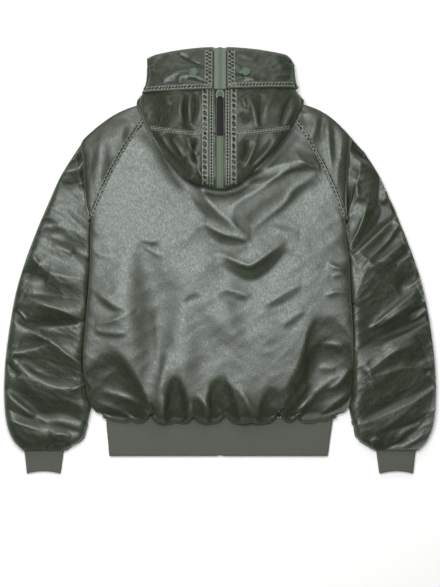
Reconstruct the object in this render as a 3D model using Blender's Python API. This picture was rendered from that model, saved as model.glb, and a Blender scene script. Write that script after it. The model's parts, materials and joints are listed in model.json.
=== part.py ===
"""A hooded flight parka lying on its front, with its hood thrown back and its sleeves at its sides.

Metres, +Z up. +Y runs from the hem to the head and -X is the wearer's left, so the back faces up.
The origin is on the surface that the parka lies on, in the middle of its outline.

The shell is wadded cloth that tapers to its seams. The front half of every part lies on the surface,
the back half lies on it, and the hood lies on the back. Each cut piece is a closed wall between two
grids of points, whose places and heights come from the tables of sections below.
"""

from collections import namedtuple
from math import atan, cos, exp, pi, radians, sin

import bmesh
import bpy
from mathutils import Matrix, Vector

# ---------------------------------------------------------------- driving sizes
SEAM = 0.0006  # free space between two pieces that are sewn together
LAYER = 0.0008  # free space between two layers that lie on each other
SPLIT = 0.0150  # height of the side seams, where the back half lies on the front half
EDGE_RISE = 0.0080  # a side turns up from the surface by this much
EDGE_START = 0.9  # share of the way out to a side where it starts to turn up
SIDE_GAP = 0.0013  # free space between a sleeve and the torso's side

SEAM_STEPS = 10  # steps along a raglan seam, and across a sleeve
ACROSS = 30  # steps across the back panel
HALF_STEPS = 7  # steps across half of the hood or of the front

UNDERARM_Y = 0.0830
RAGLAN_TOP_X, RAGLAN_TOP_Y = 0.1180, 0.3040
RAGLAN_BOW = 0.0110
SHOULDER_BOW = 0.0180  # how far the cap rounds out over the shoulder
SHOULDER_WAY = (0.447, 0.894)  # in this direction, on the right
BACK_NECK_DIP, FRONT_NECK_DIP = 0.0080, 0.0350

# ---------------------------------------------------------------- the torso and its folds
# y, left and right outline, height of the middle, height of the sides.
# Above the underarm the outline takes in the sleeve caps, as far as the fold that the arms hang from.
Section = namedtuple("Section", "y left right crown edge")
TORSO = [
    Section(-0.2990, -0.2235, 0.2215, 0.0330, 0.0190),
    Section(-0.2870, -0.2375, 0.2375, 0.0360, 0.0200),
    Section(-0.2640, -0.2508, 0.2508, 0.0385, 0.0210),
    Section(-0.2400, -0.2550, 0.2525, 0.0395, 0.0215),
    Section(-0.2100, -0.2590, 0.2532, 0.0400, 0.0215),
    Section(-0.1750, -0.2600, 0.2535, 0.0400, 0.0215),
    Section(-0.1350, -0.2570, 0.2527, 0.0400, 0.0215),
    Section(-0.0900, -0.2530, 0.2500, 0.0400, 0.0215),
    Section(-0.0450, -0.2495, 0.2475, 0.0400, 0.0215),
    Section(0.0000, -0.2470, 0.2455, 0.0400, 0.0215),
    Section(0.0430, -0.2465, 0.2400, 0.0400, 0.0220),
    Section(UNDERARM_Y, -0.2460, 0.2380, 0.0400, 0.0240),
    Section(0.1100, -0.2520, 0.2365, 0.0400, 0.0290),
    Section(0.1500, -0.2545, 0.2375, 0.0400, 0.0310),
    Section(0.1900, -0.2570, 0.2400, 0.0395, 0.0310),
    Section(0.2300, -0.2590, 0.2430, 0.0390, 0.0270),
    Section(0.2415, -0.2490, 0.2430, 0.0385, 0.0220),
    Section(0.2530, -0.2360, 0.2310, 0.0380, 0.0205),
    Section(0.2640, -0.2200, 0.2170, 0.0370, 0.0200),
    Section(0.2760, -0.2050, 0.2030, 0.0360, 0.0195),
    Section(0.2870, -0.1860, 0.1830, 0.0350, 0.0190),
    Section(0.2980, -0.1600, 0.1580, 0.0340, 0.0185),
    Section(0.3070, -0.1300, 0.1300, 0.0330, 0.0180),
]
TORSO_FULLNESS = 6.0  # how square the torso's section is

# The gathered back balloons over the rib. The rows of its rolled edge: how far in from the edge, height.
HEM_EDGE_Y = -0.3115
HEM_LIMIT = 0.0040  # no pinch lifts the edge further above the seam than this
Roll = namedtuple("Roll", "inset height")
HEM_ROLL = [Roll(0.0000, 0.0185), Roll(0.0028, 0.0255), Roll(0.0090, 0.0300)]
# Where the seam pinches the balloon: place, rise of the edge, half width, length, lean, depth
Pinch = namedtuple("Pinch", "x rise half length lean depth")
PINCHES = [
    Pinch(-0.169, 0.008, 0.009, 0.040, -0.010, 0.003),
    Pinch(-0.133, 0.018, 0.016, 0.110, -0.010, 0.009),
    Pinch(-0.051, 0.015, 0.012, 0.060, -0.012, 0.006),
    Pinch(0.010, 0.016, 0.011, 0.050, 0.006, 0.006),
    Pinch(0.112, 0.020, 0.014, 0.110, 0.050, 0.009),
    Pinch(0.146, 0.011, 0.012, 0.045, 0.015, 0.004),
]

# The largest folds: from one end to the other, half width, height (below zero is a trough)
Fold = namedtuple("Fold", "x0 y0 x1 y1 half height")
TORSO_FOLDS = [
    Fold(-0.075, 0.115, 0.060, 0.005, 0.017, -0.0060),
    Fold(-0.010, 0.000, 0.125, 0.018, 0.015, -0.0055),
    Fold(0.075, 0.085, 0.200, 0.150, 0.016, -0.0045),
    Fold(-0.145, 0.020, -0.130, -0.220, 0.026, -0.0040),
    Fold(0.030, -0.060, 0.045, -0.230, 0.024, 0.0035),
    Fold(-0.235, -0.150, -0.135, -0.270, 0.022, -0.0050),
    Fold(0.245, -0.090, 0.120, -0.280, 0.022, -0.0055),
]

# ---------------------------------------------------------------- the sleeves and their folds
# For one side, as distances from the middle: outer end, its y, y of the inner end, height of the middle
Arm = namedtuple("Arm", "x y inner_y crown")
ARM = [
    Arm(0.2755, 0.2070, 0.0610, 0.0265),
    Arm(0.3035, 0.1620, 0.0180, 0.0330),
    Arm(0.3270, 0.1100, -0.0220, 0.0370),
    Arm(0.3500, 0.0560, -0.0620, 0.0385),
    Arm(0.3710, 0.0000, -0.1020, 0.0395),
    Arm(0.3880, -0.0570, -0.1400, 0.0400),
    Arm(0.4000, -0.1200, -0.1800, 0.0405),
    Arm(0.4085, -0.1850, -0.2220, 0.0405),
    Arm(0.4115, -0.2400, -0.2580, 0.0400),
    Arm(0.4100, -0.2850, -0.2910, 0.0385),
    Arm(0.4045, -0.3180, -0.3200, 0.0350),
    Arm(0.3940, -0.3420, -0.3420, 0.0290),
    Arm(0.3825, -0.3550, -0.3545, 0.0225),
    Arm(0.3765, -0.3605, -0.3605, 0.0180),
]
ARM_FULLNESS = 3.2
ARM_OUTER_EDGE, ARM_INNER_EDGE = 0.0200, 0.0175
# inner outline of the arm below the place where it parts from the torso
Inner = namedtuple("Inner", "y x")
ARM_INNER = [Inner(-0.3605, 0.2940), Inner(-0.3540, 0.2840), Inner(-0.3420, 0.2650), Inner(-0.3200, 0.2555),
             Inner(-0.2880, 0.2460)]
# The cap hangs over the arm in one long fold: where it starts and ends, how far in it tucks, its drop
PLEAT_TOP_Y, PLEAT_END_Y, PLEAT_FLARE = 0.2320, 0.0770, 0.0036
PLEAT_TUCK, PLEAT_LIP, PLEAT_DROP = 0.0080, 0.0012, 0.0090
PLEAT_OUT = 0.15  # share of the way to the arm's first line where the cloth comes out again
LIP_SLOPE = 0.6  # slope of the cloth as it comes out from under the lip
CAP_SHARES = (0.0, 0.25, 0.55, 0.82, 1.0)
FRONT_CAP_SHARES = (0.0, 0.55, 1.0)
FRONT_END_Y = -0.3540  # the arm's front half stops at the cuff, and its back half balloons over it

LEFT_FOLDS = [
    Fold(-0.400, -0.015, -0.262, -0.070, 0.014, -0.0080),
    Fold(-0.402, -0.085, -0.345, -0.125, 0.012, -0.0100),
    Fold(-0.360, -0.118, -0.258, -0.140, 0.013, -0.0090),
    Fold(-0.408, -0.190, -0.262, -0.185, 0.016, -0.0060),
    Fold(-0.410, -0.215, -0.270, -0.275, 0.016, 0.0050),
    Fold(-0.409, -0.240, -0.280, -0.330, 0.014, -0.0070),
    Fold(-0.360, 0.045, -0.256, 0.020, 0.014, -0.0060),
    Fold(-0.325, 0.150, -0.262, 0.155, 0.012, -0.0050),
]
RIGHT_FOLDS = [
    Fold(0.400, -0.105, 0.262, -0.175, 0.014, -0.0100),
    Fold(0.380, -0.030, 0.270, -0.130, 0.014, 0.0050),
    Fold(0.400, -0.060, 0.300, -0.150, 0.012, -0.0060),
    Fold(0.345, 0.090, 0.256, 0.010, 0.014, -0.0070),
    Fold(0.366, 0.035, 0.270, -0.060, 0.014, -0.0060),
    Fold(0.409, -0.200, 0.290, -0.225, 0.014, -0.0060),
    Fold(0.411, -0.240, 0.270, -0.320, 0.016, -0.0070),
    Fold(0.300, 0.170, 0.252, 0.110, 0.012, -0.0050),
]

# ---------------------------------------------------------------- rib knit
RIB_WALL, RIB_HEIGHT = 0.0046, 0.0120
RIB_TURN = 5  # points round each side of a rib
RIB_FLAT_SHARES = (0.3, 0.5, 0.7)  # and where more lie along its upper face
Band = namedtuple("Band", "y left right")
HEM_BAND = [
    Band(-0.2996, -0.2190, 0.2170),
    Band(-0.3250, -0.2170, 0.2135),
    Band(-0.3500, -0.2145, 0.2100),
    Band(-0.3725, -0.2130, 0.2075),
]
CUFF_BAND = [
    Band(-0.3546, 0.2975, 0.3770),
    Band(-0.3720, 0.2995, 0.3740),
    Band(-0.3900, 0.3020, 0.3720),
    Band(-0.4065, 0.3040, 0.3705),
]
CUFF_END_BOW = 0.0050

# ---------------------------------------------------------------- the hood
# y, left and right outline, height of the middle, height that its middle rests at, how far the sides
# of that drop, and how far the layer under it shows past its outline
Hood = namedtuple("Hood", "y left right crown bed droop spill")
HOOD = [
    Hood(0.1350, -0.0160, 0.0120, 0.0560, 0.0500, 0.0010, -0.010),
    Hood(0.1387, -0.0285, 0.0230, 0.0590, 0.0500, 0.0020, -0.010),
    Hood(0.1440, -0.0440, 0.0345, 0.0615, 0.0502, 0.0030, -0.009),
    Hood(0.1539, -0.0665, 0.0480, 0.0640, 0.0505, 0.0040, -0.006),
    Hood(0.1729, -0.0835, 0.0665, 0.0655, 0.0508, 0.0050, 0.000),
    Hood(0.2014, -0.1045, 0.0965, 0.0665, 0.0510, 0.0060, 0.003),
    Hood(0.2250, -0.1190, 0.1150, 0.0667, 0.0510, 0.0080, 0.004),
    Hood(0.2489, -0.1330, 0.1330, 0.0662, 0.0508, 0.0080, 0.005),
    Hood(0.2720, -0.1430, 0.1450, 0.0652, 0.0505, 0.0095, 0.006),
    Hood(0.2964, -0.1510, 0.1535, 0.0635, 0.0498, 0.0120, 0.006),
    Hood(0.3116, -0.1500, 0.1510, 0.0618, 0.0475, 0.0165, 0.004),
    Hood(0.3250, -0.1430, 0.1445, 0.0595, 0.0440, 0.0200, -0.004),
    Hood(0.3450, -0.1365, 0.1400, 0.0530, 0.0365, 0.0160, -0.008),
    Hood(0.3670, -0.1350, 0.1385, 0.0440, 0.0275, 0.0080, -0.020),
    Hood(0.3850, -0.1345, 0.1375, 0.0370, 0.0215, 0.0040, -0.004),
    Hood(0.3990, -0.1340, 0.1365, 0.0335, 0.0180, 0.0010, -0.004),
]
HOOD_FULLNESS = 3.4
HOOD_RIM = 0.0060  # thickness of the hood's layer at its outline
TIP_Y, CROSS_SEAM_Y, MOUTH_Y = 0.1350, 0.2380, 0.3990
MOUTH_BOW = 0.0185  # the mouth edge falls back by this much from its middle to its corners
# how far the ends of a line across the hood lie towards the mouth from its middle
Bow = namedtuple("Bow", "y rise")
BOWS = [Bow(TIP_Y, 0.0), Bow(CROSS_SEAM_Y, 0.0130), Bow(0.3240, 0.0), Bow(MOUTH_Y, -MOUTH_BOW)]
# At the narrow tip a half starts at these shares of its width, without and with its strip by the zip
TIP_START, TIP_STRIP_START = 0.8, 0.6
HOOD_BACK_ROWS = (0.1350, 0.1387, 0.1450, 0.1580, 0.1780, 0.2050)
HOOD_TOP_ROWS = (0.2620, 0.2860, 0.3050, 0.3240, 0.3450, 0.3670, 0.3850, 0.3990)
UNDER_ROWS = (0.1500, 0.1650, 0.1900, 0.2200, 0.2500, 0.2750, 0.2920, 0.3060, 0.3120, 0.3250, 0.3450,
              0.3670)
UNDER_STEPS = 12
UNDER_SLACK, UNDER_THIN = 0.0020, 0.0020  # extra free space at its sides, and its least thickness
NECK_PAST = 0.0060  # past the neckline by this much it lies on the fronts
NECK_REACH = 0.0120  # and it clears the back's height this far below it
CHIN_START_Y = 0.3085
CHIN_SHARES = (0.0, 0.3, 0.65, 1.0)
CHIN_TAPER = 0.8  # how much of the hood's own narrowing the chin follows
CHIN_INSET, CHIN_BACK = 0.0030, 0.0040  # it stays inside the hood's sides and its mouth by these
CHIN_SHOULDER = 0.0300  # outside the raglan's top its lower edge rises to its start over this width

BRIM_EDGE_Y = 0.3240
BRIM_THICK = 0.0076
BRIM_EDGE_SHARE = 0.75  # share of that at its sewn edge
BRIM_PROUD = 0.0037  # the turned-back brim stands outside the hood's outline by this
# How a strip rolls round the mouth: how far out and how far up it is, as shares of its distance from
# the hood, and its height, as a share of the hood's thickness there
Turn = namedtuple("Turn", "out up level")
MOUTH_TURN = [Turn(0.0, 1.0, 1.0), Turn(0.7, 0.7, 1.0), Turn(1.0, 0.0, 0.5), Turn(0.85, 0.0, 0.08)]

# ---------------------------------------------------------------- zips and snaps
ZIP_HALF = 0.0062
ZIP_SUNK, ZIP_THICK = 0.0004, 0.0036
BRIM_ZIP_HALF = 0.0122
BRIM_ZIP_UNDER, BRIM_ZIP_OVER = 0.0032, 0.0056
BRIM_INNER = BRIM_ZIP_HALF + SEAM
FRONT_ZIP_HALF = 0.0072
FRONT_INNER = FRONT_ZIP_HALF + SEAM
FRONT_ZIP_LOW, FRONT_ZIP_HIGH = 0.0022, 0.0042

SLIDER_Y = 0.3180
SLIDER_HALF_X, SLIDER_HALF_Y, SLIDER_PLATE = 0.0052, 0.0056, 0.0016
BRIDGE_HALF_X, BRIDGE_HALF_Y, BRIDGE_HIGH, BRIDGE_BAR = 0.0016, 0.0036, 0.0058, 0.0012
PIN_HEIGHT = 0.0034  # the pull turns here, above the slider's underside
WIRE = 0.0008
BAIL_RADIUS, BAIL_LENGTH, BAIL_CORNER = 0.0068, 0.0115, 0.0015
PULL_LIFT = radians(3.6)  # slope of the pull, lying on the hood
TAB_HALF, TAB_START, TAB_END, TAB_THICK, TAB_ROUND = 0.0064, 0.0127, 0.0843, 0.0022, 0.0006

FRONT_SLIDER_Y, FRONT_PULL_LENGTH, FRONT_PULL_HALF = 0.2450, 0.0240, 0.0036
FRONT_PLATE_LOW, FRONT_PLATE_HIGH = 0.0009, 0.0018
FRONT_PIN_HEIGHT, FRONT_PULL_THICK = 0.0009, 0.0012  # the pull lies lower than the slider's plate
FRONT_PIN_GAP = 0.0010  # from the slider's end to the pin, so that the pull's eye turns clear of it
FRONT_ZIP_TOP, FRONT_ZIP_BOTTOM = 0.0100, 0.0010  # the tape stops short of the mouth and the rib by these

SNAP_RADIUS, SNAP_HEIGHT, SNAP_SEAT, SNAP_SLOPE = 0.0086, 0.0028, 0.0003, 0.0012
SNAP_REACH = 0.0080  # the cap lies along the brim's slope over this distance to each side
SNAPS = {"snap_left": (-0.0500, 0.3555), "snap_right": (0.0485, 0.3560)}


# ---------------------------------------------------------------- reading the tables
def between(rows, y, column):
    """A column of a table at any y."""
    if y <= rows[0].y:
        return getattr(rows[0], column)
    for low, high in zip(rows, rows[1:]):
        if y <= high.y:
            share = (y - low.y) / (high.y - low.y)
            return getattr(low, column) * (1 - share) + getattr(high, column) * share
    return getattr(rows[-1], column)


def outline(rows, y, side):
    return between(rows, y, "left" if side < 0 else "right")


def across(rows, x, y):
    """How far x lies from the middle of the outline at y: -1 and 1 are its left and right edge."""
    left, right = between(rows, y, "left"), between(rows, y, "right")
    return max(-1.0, min(1.0, (2 * x - left - right) / (right - left)))


def arch(share, fullness):
    """Height of a flattened tube's upper face: 1 in the middle, 0 at its edges."""
    return max(0.0, 1 - abs(share) ** fullness) ** 0.5


def eased(count):
    """Shares from 0 to 1 that crowd towards both ends."""
    return [(1 - cos(pi * i / count)) / 2 for i in range(count + 1)]


def crowded(count):
    """Shares from 0 to 1 that crowd towards 1."""
    return [sin(pi / 2 * i / count) for i in range(count + 1)]


def edge_lift(share):
    """How far the underside is off the surface: nothing but near an edge, at a share of 1."""
    return EDGE_RISE * max(0.0, (abs(share) - EDGE_START) / (1 - EDGE_START)) ** 2


def ridge(fold, x, y):
    """Height of one fold at a point: a smooth ridge or trough that dies away at both ends."""
    along = Vector((fold.x1 - fold.x0, fold.y1 - fold.y0))
    to_point = Vector((x - fold.x0, y - fold.y0))
    share = to_point.dot(along) / along.length_squared
    if not 0 < share < 1:
        return 0.0
    off = abs(to_point.x * along.y - to_point.y * along.x) / along.length
    return fold.height * sin(pi * share) * exp(-((off / fold.half) ** 2))


# ---------------------------------------------------------------- closed walls
def material(name, colour, roughness, metallic=0.0):
    made = bpy.data.materials.new(name)
    made.use_nodes = True
    shader = made.node_tree.nodes["Principled BSDF"]
    shader.inputs["Base Color"].default_value = (*colour, 1)
    shader.inputs["Roughness"].default_value = roughness
    shader.inputs["Metallic"].default_value = metallic
    return made


def add_object(name, points, faces, finish, smooth=True):
    """One object from points and faces, with its normals outwards."""
    mesh = bpy.data.meshes.new(name)
    mesh.from_pydata(points, [], faces)
    work = bmesh.new()
    work.from_mesh(mesh)
    bmesh.ops.recalc_face_normals(work, faces=work.faces)
    work.to_mesh(mesh)
    work.free()
    if smooth:
        mesh.shade_smooth()
    mesh.materials.append(finish)
    made = bpy.data.objects.new(name, mesh)
    bpy.context.scene.collection.objects.link(made)
    return made


def grid_faces(rows, width, first=0, ring=False):
    faces = []
    for i in range(rows - 1):
        for j in range(width if ring else width - 1):
            right = (j + 1) % width
            faces.append([first + i * width + j, first + i * width + right,
                          first + (i + 1) * width + right, first + (i + 1) * width + j])
    return faces


def rim(rows, width):
    """The grid's outline, once round."""
    return ([j for j in range(width)] + [i * width + width - 1 for i in range(1, rows)]
            + [(rows - 1) * width + j for j in range(width - 2, -1, -1)]
            + [i * width for i in range(rows - 2, 0, -1)])


def wall(name, outer, inner, finish, ring=False):
    """A closed wall between two grids. In a ring each row closes on itself, so only its ends are shut."""
    rows, width = len(outer), len(outer[0])
    count = rows * width
    points = [point for grid in (outer, inner) for row in grid for point in row]
    faces = grid_faces(rows, width, 0, ring) + grid_faces(rows, width, count, ring)
    loops = [rim(rows, width)]
    if ring:
        loops = [list(range(width)), list(range(count - width, count))]
    for loop in loops:
        faces += [[a, b, b + count, a + count] for a, b in zip(loop, loop[1:] + loop[:1])]
    return add_object(name, points, faces, finish)


def slab(name, grid, level, finish):
    """A closed wall between a grid and the flat face straight under or over it."""
    rows, width = len(grid), len(grid[0])
    points = [point for row in grid for point in row]
    loop = rim(rows, width)
    flat = list(range(len(points), len(points) + len(loop)))
    points += [(points[i][0], points[i][1], level) for i in loop]
    faces = grid_faces(rows, width) + [flat]
    for i, a in enumerate(loop):
        j = (i + 1) % len(loop)
        faces.append([a, loop[j], flat[j], flat[i]])
    return add_object(name, points, faces, finish)


# ---------------------------------------------------------------- torso
def raglan(share, side):
    """Plan point of the seam between torso and sleeve, from the neck (0) to the underarm (1)."""
    top = Vector((side * RAGLAN_TOP_X, RAGLAN_TOP_Y))
    end = Vector((outline(TORSO, UNDERARM_Y, side), UNDERARM_Y))
    along = (end - top).normalized()
    outwards = Vector((-along.y, along.x)) * side
    return top.lerp(end, share) + outwards * RAGLAN_BOW * sin(pi * share)


def pinch_at(pinch, x, y):
    """How much of a hem pinch is felt at a point, from 0 to 1."""
    up = max(0.0, y - HEM_EDGE_Y) / pinch.length
    if up >= 1:
        return 0.0
    off = (x - pinch.x - pinch.lean * up) / (pinch.half * (1 + up))
    return exp(-off * off) * (1 - up) ** 2


def torso_top(x, y):
    """Height of the torso's upper face, with its folds and pinches."""
    share = across(TORSO, x, y)
    crown, edge = between(TORSO, y, "crown"), between(TORSO, y, "edge")
    relief = sum(ridge(fold, x, y) for fold in TORSO_FOLDS)
    relief -= sum(pinch.depth * pinch_at(pinch, x, y) for pinch in PINCHES)
    return edge + (crown - edge) * arch(share, TORSO_FULLNESS) + relief * (1 - abs(share) ** 8)


def torso_plan(shares, dip):
    """Plan points of the torso above its hem: rows up the sides, then rows between the raglan seams."""
    sides = [(Vector((row.left, row.y)), Vector((row.right, row.y))) for row in TORSO if row.y < UNDERARM_Y]
    inset = Vector((SEAM / 2, 0))
    along = list(reversed(eased(SEAM_STEPS)))
    seams = [(raglan(share, -1) + inset, raglan(share, 1) - inset) for share in along]
    plan = [[left.lerp(right, s) for s in shares] for left, right in sides]
    for share, (left, right) in zip(along, seams):
        row = [left.lerp(right, s) for s in shares]
        for point in row:
            point.y -= dip * (1 - share) ** 3 * max(0.0, 1 - (point.x / RAGLAN_TOP_X) ** 2)
        plan.append(row)
    return plan


def hem_point(roll, share):
    """A point on the rolled edge of the balloon: it hangs over the rib, but not at the side seams."""
    hem = TORSO[0]
    x = hem.left + (hem.right - hem.left) * share
    rise = sum(pinch.rise * exp(-(((x - pinch.x) / pinch.half) ** 2)) for pinch in PINCHES)
    hanging = 1 - abs(2 * share - 1) ** 8
    y = hem.y + (HEM_EDGE_Y + rise + roll.inset - hem.y) * hanging
    height = HEM_ROLL[0].height + (roll.height - HEM_ROLL[0].height) * hanging
    return x, min(y, hem.y + HEM_LIMIT + roll.inset / 2), height


def build_back(satin):
    """The back panel, gathered into the rib: it lies on the fronts and rolls over past its seam."""
    middle = [i / ACROSS for i in range(2, ACROSS - 1)]
    shares = [0.0, 0.012, 0.035] + middle + [0.965, 0.988, 1.0]
    plan = torso_plan(shares, BACK_NECK_DIP)
    grid = [[hem_point(roll, s) for s in shares] for roll in HEM_ROLL]
    grid += [[(p.x, p.y, torso_top(p.x, p.y)) for p in row] for row in plan[1:]]
    slab("back_panel", grid, SPLIT + LAYER / 2, satin)


def build_front(name, side, satin):
    """A front panel lies on the surface and turns up at its side to meet the back."""
    grid = []
    for row in torso_plan((0.0, 0.5, 1.0), 0.0):
        end = row[0] if side < 0 else row[2]
        inner = side * FRONT_INNER
        points = []
        for s in crowded(HALF_STEPS):
            x = inner + (end.x - inner) * s
            dip = FRONT_NECK_DIP * max(0.0, 1 - (x / RAGLAN_TOP_X) ** 2)
            high = max(0.0, end.y - UNDERARM_Y) / (RAGLAN_TOP_Y - UNDERARM_Y)
            points.append((x, end.y - dip * high ** 3, edge_lift(s) if end.y <= UNDERARM_Y else 0.0))
        grid.append(points)
    slab(name, grid, SPLIT - LAYER / 2, satin)


# ---------------------------------------------------------------- sleeves
def arm_ends(row, side):
    """Outer and inner end of one line across the arm."""
    if row.inner_y > ARM_INNER[-1].y:
        gap = PLEAT_FLARE + SIDE_GAP if row is ARM[0] else SIDE_GAP
        inner = abs(outline(TORSO, row.inner_y, side)) + gap
    else:
        inner = between(ARM_INNER, row.inner_y, "x")
    return Vector((side * row.x, row.y)), Vector((side * inner, row.inner_y))


def pleat(share, side):
    """Plan point of the fold where the cap hangs over the arm, from the shoulder down."""
    y = PLEAT_TOP_Y + (PLEAT_END_Y - PLEAT_TOP_Y) * share
    return Vector((outline(TORSO, y, side) + side * PLEAT_FLARE * share, y))


def below_lip(point, low, side):
    """Keeps a point of the arm under the lip of the pleat: it rises only as it comes out from there."""
    x, y, z = point
    share = min(1.0, (PLEAT_TOP_Y - y) / (PLEAT_TOP_Y - PLEAT_END_Y))
    out = max(0.0, abs(x) - abs(pleat(max(0.0, share), side).x))
    return x, y, min(z, low + LIP_SLOPE * out)


def cap_point(along, share, side):
    """Plan point of the cap: along is 0 at the raglan seam and 1 at the pleat."""
    seam = raglan(share, side) + Vector((side * SEAM / 2, 0))
    way = Vector((side * SHOULDER_WAY[0], SHOULDER_WAY[1]))
    shoulder = way * SHOULDER_BOW * sin(pi * along) * (1 - share) ** 2
    return seam.lerp(pleat(share, side), along) + shoulder


def tuck_under(lips, side):
    """The line in under the pleat: it starts from the lip, and fades out at the underarm."""
    outer, inner = arm_ends(ARM[0], side)
    row = []
    for share, lip in zip(eased(SEAM_STEPS), lips):
        tuck = PLEAT_TUCK * sin(pi * share) ** 0.7 * (1 - share ** 4)
        point = pleat(share, side).lerp(outer.lerp(inner, share), PLEAT_OUT)
        drop = PLEAT_LIP + PLEAT_DROP * tuck / PLEAT_TUCK
        row.append((point.x - side * tuck, point.y, lip[2] - drop))
    return row


def arm_top(row, side, folds):
    """Upper face of one line across the arm, with its folds."""
    outer, inner = arm_ends(row, side)
    points = []
    for share in eased(SEAM_STEPS):
        x, y = outer.lerp(inner, share)
        edge = min(ARM_OUTER_EDGE + (ARM_INNER_EDGE - ARM_OUTER_EDGE) * share, row.crown)
        relief = sum(ridge(fold, x, y) for fold in folds) * (1 - abs(2 * share - 1) ** 6)
        height = edge + (row.crown - edge) * arch(2 * share - 1, ARM_FULLNESS) + relief
        points.append((x, y, height))
    return points


def underside(outer, inner):
    """Lower face of one line across a sleeve: flat on the surface, turned up at both ends."""
    points = [(outer.lerp(inner, share), share) for share in eased(SEAM_STEPS)]
    return [(point.x, point.y, edge_lift(2 * share - 1)) for point, share in points]


def build_sleeve(word, side, folds, satin):
    """A raglan sleeve in two halves, joined along the shoulder and the underarm."""
    shares = eased(SEAM_STEPS)
    back, front = [], []
    for along in CAP_SHARES:
        row = [cap_point(along, share, side) for share in shares]
        back.append([(p.x, p.y, torso_top(p.x, p.y)) for p in row])
        if along in FRONT_CAP_SHARES:
            front.append([(p.x, p.y, edge_lift(2 * s - 1)) for p, s in zip(row, shares)])
    tucked = tuck_under(back[-1], side)
    first = [below_lip(point, low[2], side) for point, low in zip(arm_top(ARM[0], side, folds), tucked)]
    back += [tucked, first] + [arm_top(row, side, folds) for row in ARM[1:]]
    front += [underside(*arm_ends(row, side)) for row in ARM if row.y > FRONT_END_Y]
    cuff = CUFF_BAND[0]
    cuff_ends = [Vector((side * x, FRONT_END_Y)) for x in (cuff.right, cuff.left)]
    front.append(underside(*cuff_ends))
    slab("sleeve_back_" + word, back, SPLIT + LAYER / 2, satin)
    slab("sleeve_front_" + word, front, SPLIT - LAYER / 2, satin)


# ---------------------------------------------------------------- rib
def oval(left, right, inset, slit=None):
    """Section of a band lying flat: round sides, flat faces, and a slit below if one is given."""
    radius = RIB_HEIGHT / 2 - inset
    middle = (left + right) / 2 if slit is None else 0.0
    start = -slit if slit else middle
    points = [(start, inset)]
    for centre, first in ((left + RIB_HEIGHT / 2, -pi / 2), (right - RIB_HEIGHT / 2, pi / 2)):
        for i in range(RIB_TURN):
            angle = first - pi * i / (RIB_TURN - 1)
            points.append((centre + radius * cos(angle), RIB_HEIGHT / 2 + radius * sin(angle)))
        if first < 0:
            points += [(left + (right - left) * s, RIB_HEIGHT - inset) for s in RIB_FLAT_SHARES]
    if slit:
        points.append((slit, inset))
    return points


def build_band(name, rows, finish, side=1, slit=None, bow=0.0):
    """A rib band: a hem band is open below at the front zip, a cuff is a closed ring."""
    outer, inner = [], []
    for number, row in enumerate(rows):
        left, right = sorted((side * row.left, side * row.right))
        rise = bow * (number / (len(rows) - 1)) ** 3
        for grid, inset in ((outer, 0.0), (inner, RIB_WALL)):
            points = []
            for x, z in oval(left, right, inset, slit):
                share = (2 * x - left - right) / (right - left)
                points.append((x, row.y + rise * max(0.0, 1 - share ** 2), z))
            grid.append(points)
    wall(name, outer, inner, finish, ring=slit is None)


# ---------------------------------------------------------------- hood
def bed(x, y):
    """Height of what the hood's upper layer rests on."""
    share = across(HOOD, x, y)
    return between(HOOD, y, "bed") - between(HOOD, y, "droop") * share ** 4


def hood_top(x, y):
    """Height of the hood's upper face."""
    edge = between(HOOD, y, "bed") - between(HOOD, y, "droop") + HOOD_RIM
    crown = between(HOOD, y, "crown")
    return edge + (crown - edge) * arch(across(HOOD, x, y), HOOD_FULLNESS)


def hood_row(y, side, inner):
    """Plan points of one line across half of the hood, from beside the zip to its outline."""
    bow = between(BOWS, y, "rise")
    end = outline(HOOD, y + bow, side)
    start = side * min(BRIM_INNER, abs(end) * TIP_START)
    columns = [start + (end - start) * s for s in crowded(HALF_STEPS)]
    if inner < BRIM_INNER:
        columns = [side * min(inner, abs(end) * TIP_STRIP_START)] + columns
    return [(x, y + bow * (x / end) ** 2) for x in columns]


def build_hood_half(name, side, rows, satin):
    inner = ZIP_HALF + SEAM
    plan = [hood_row(y, side, inner) for y in rows]
    outer = [[(x, y, hood_top(x, y)) for x, y in row] for row in plan]
    lower = [[(x, y, bed(x, y)) for x, y in row] for row in plan]
    wall(name, outer, lower, satin)


def under_rest(x, y):
    """Height of what the hood's folded neck lies on: the back, then past the neckline the fronts."""
    if y > RAGLAN_TOP_Y + NECK_PAST:
        return SPLIT + LAYER
    return max(torso_top(x, y), torso_top(x, y - NECK_REACH))


def build_under(satin):
    """The hood's neck and lower layers, folded under its crown on the back panel."""
    outer, lower = [], []
    for y in UNDER_ROWS:
        spill = between(HOOD, y, "spill")
        left, right = outline(HOOD, y, -1) - spill, outline(HOOD, y, 1) + spill
        top, under = [], []
        for s in eased(UNDER_STEPS):
            x = left + (right - left) * s
            rest = under_rest(x, y) + LAYER
            slack = UNDER_SLACK * abs(across(HOOD, x, y)) ** 3
            top.append((x, y, max(bed(x, y) - LAYER - slack, rest + UNDER_THIN)))
            under.append((x, y, rest))
        outer.append(top)
        lower.append(under)
    wall("hood_under", outer, lower, satin)


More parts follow.
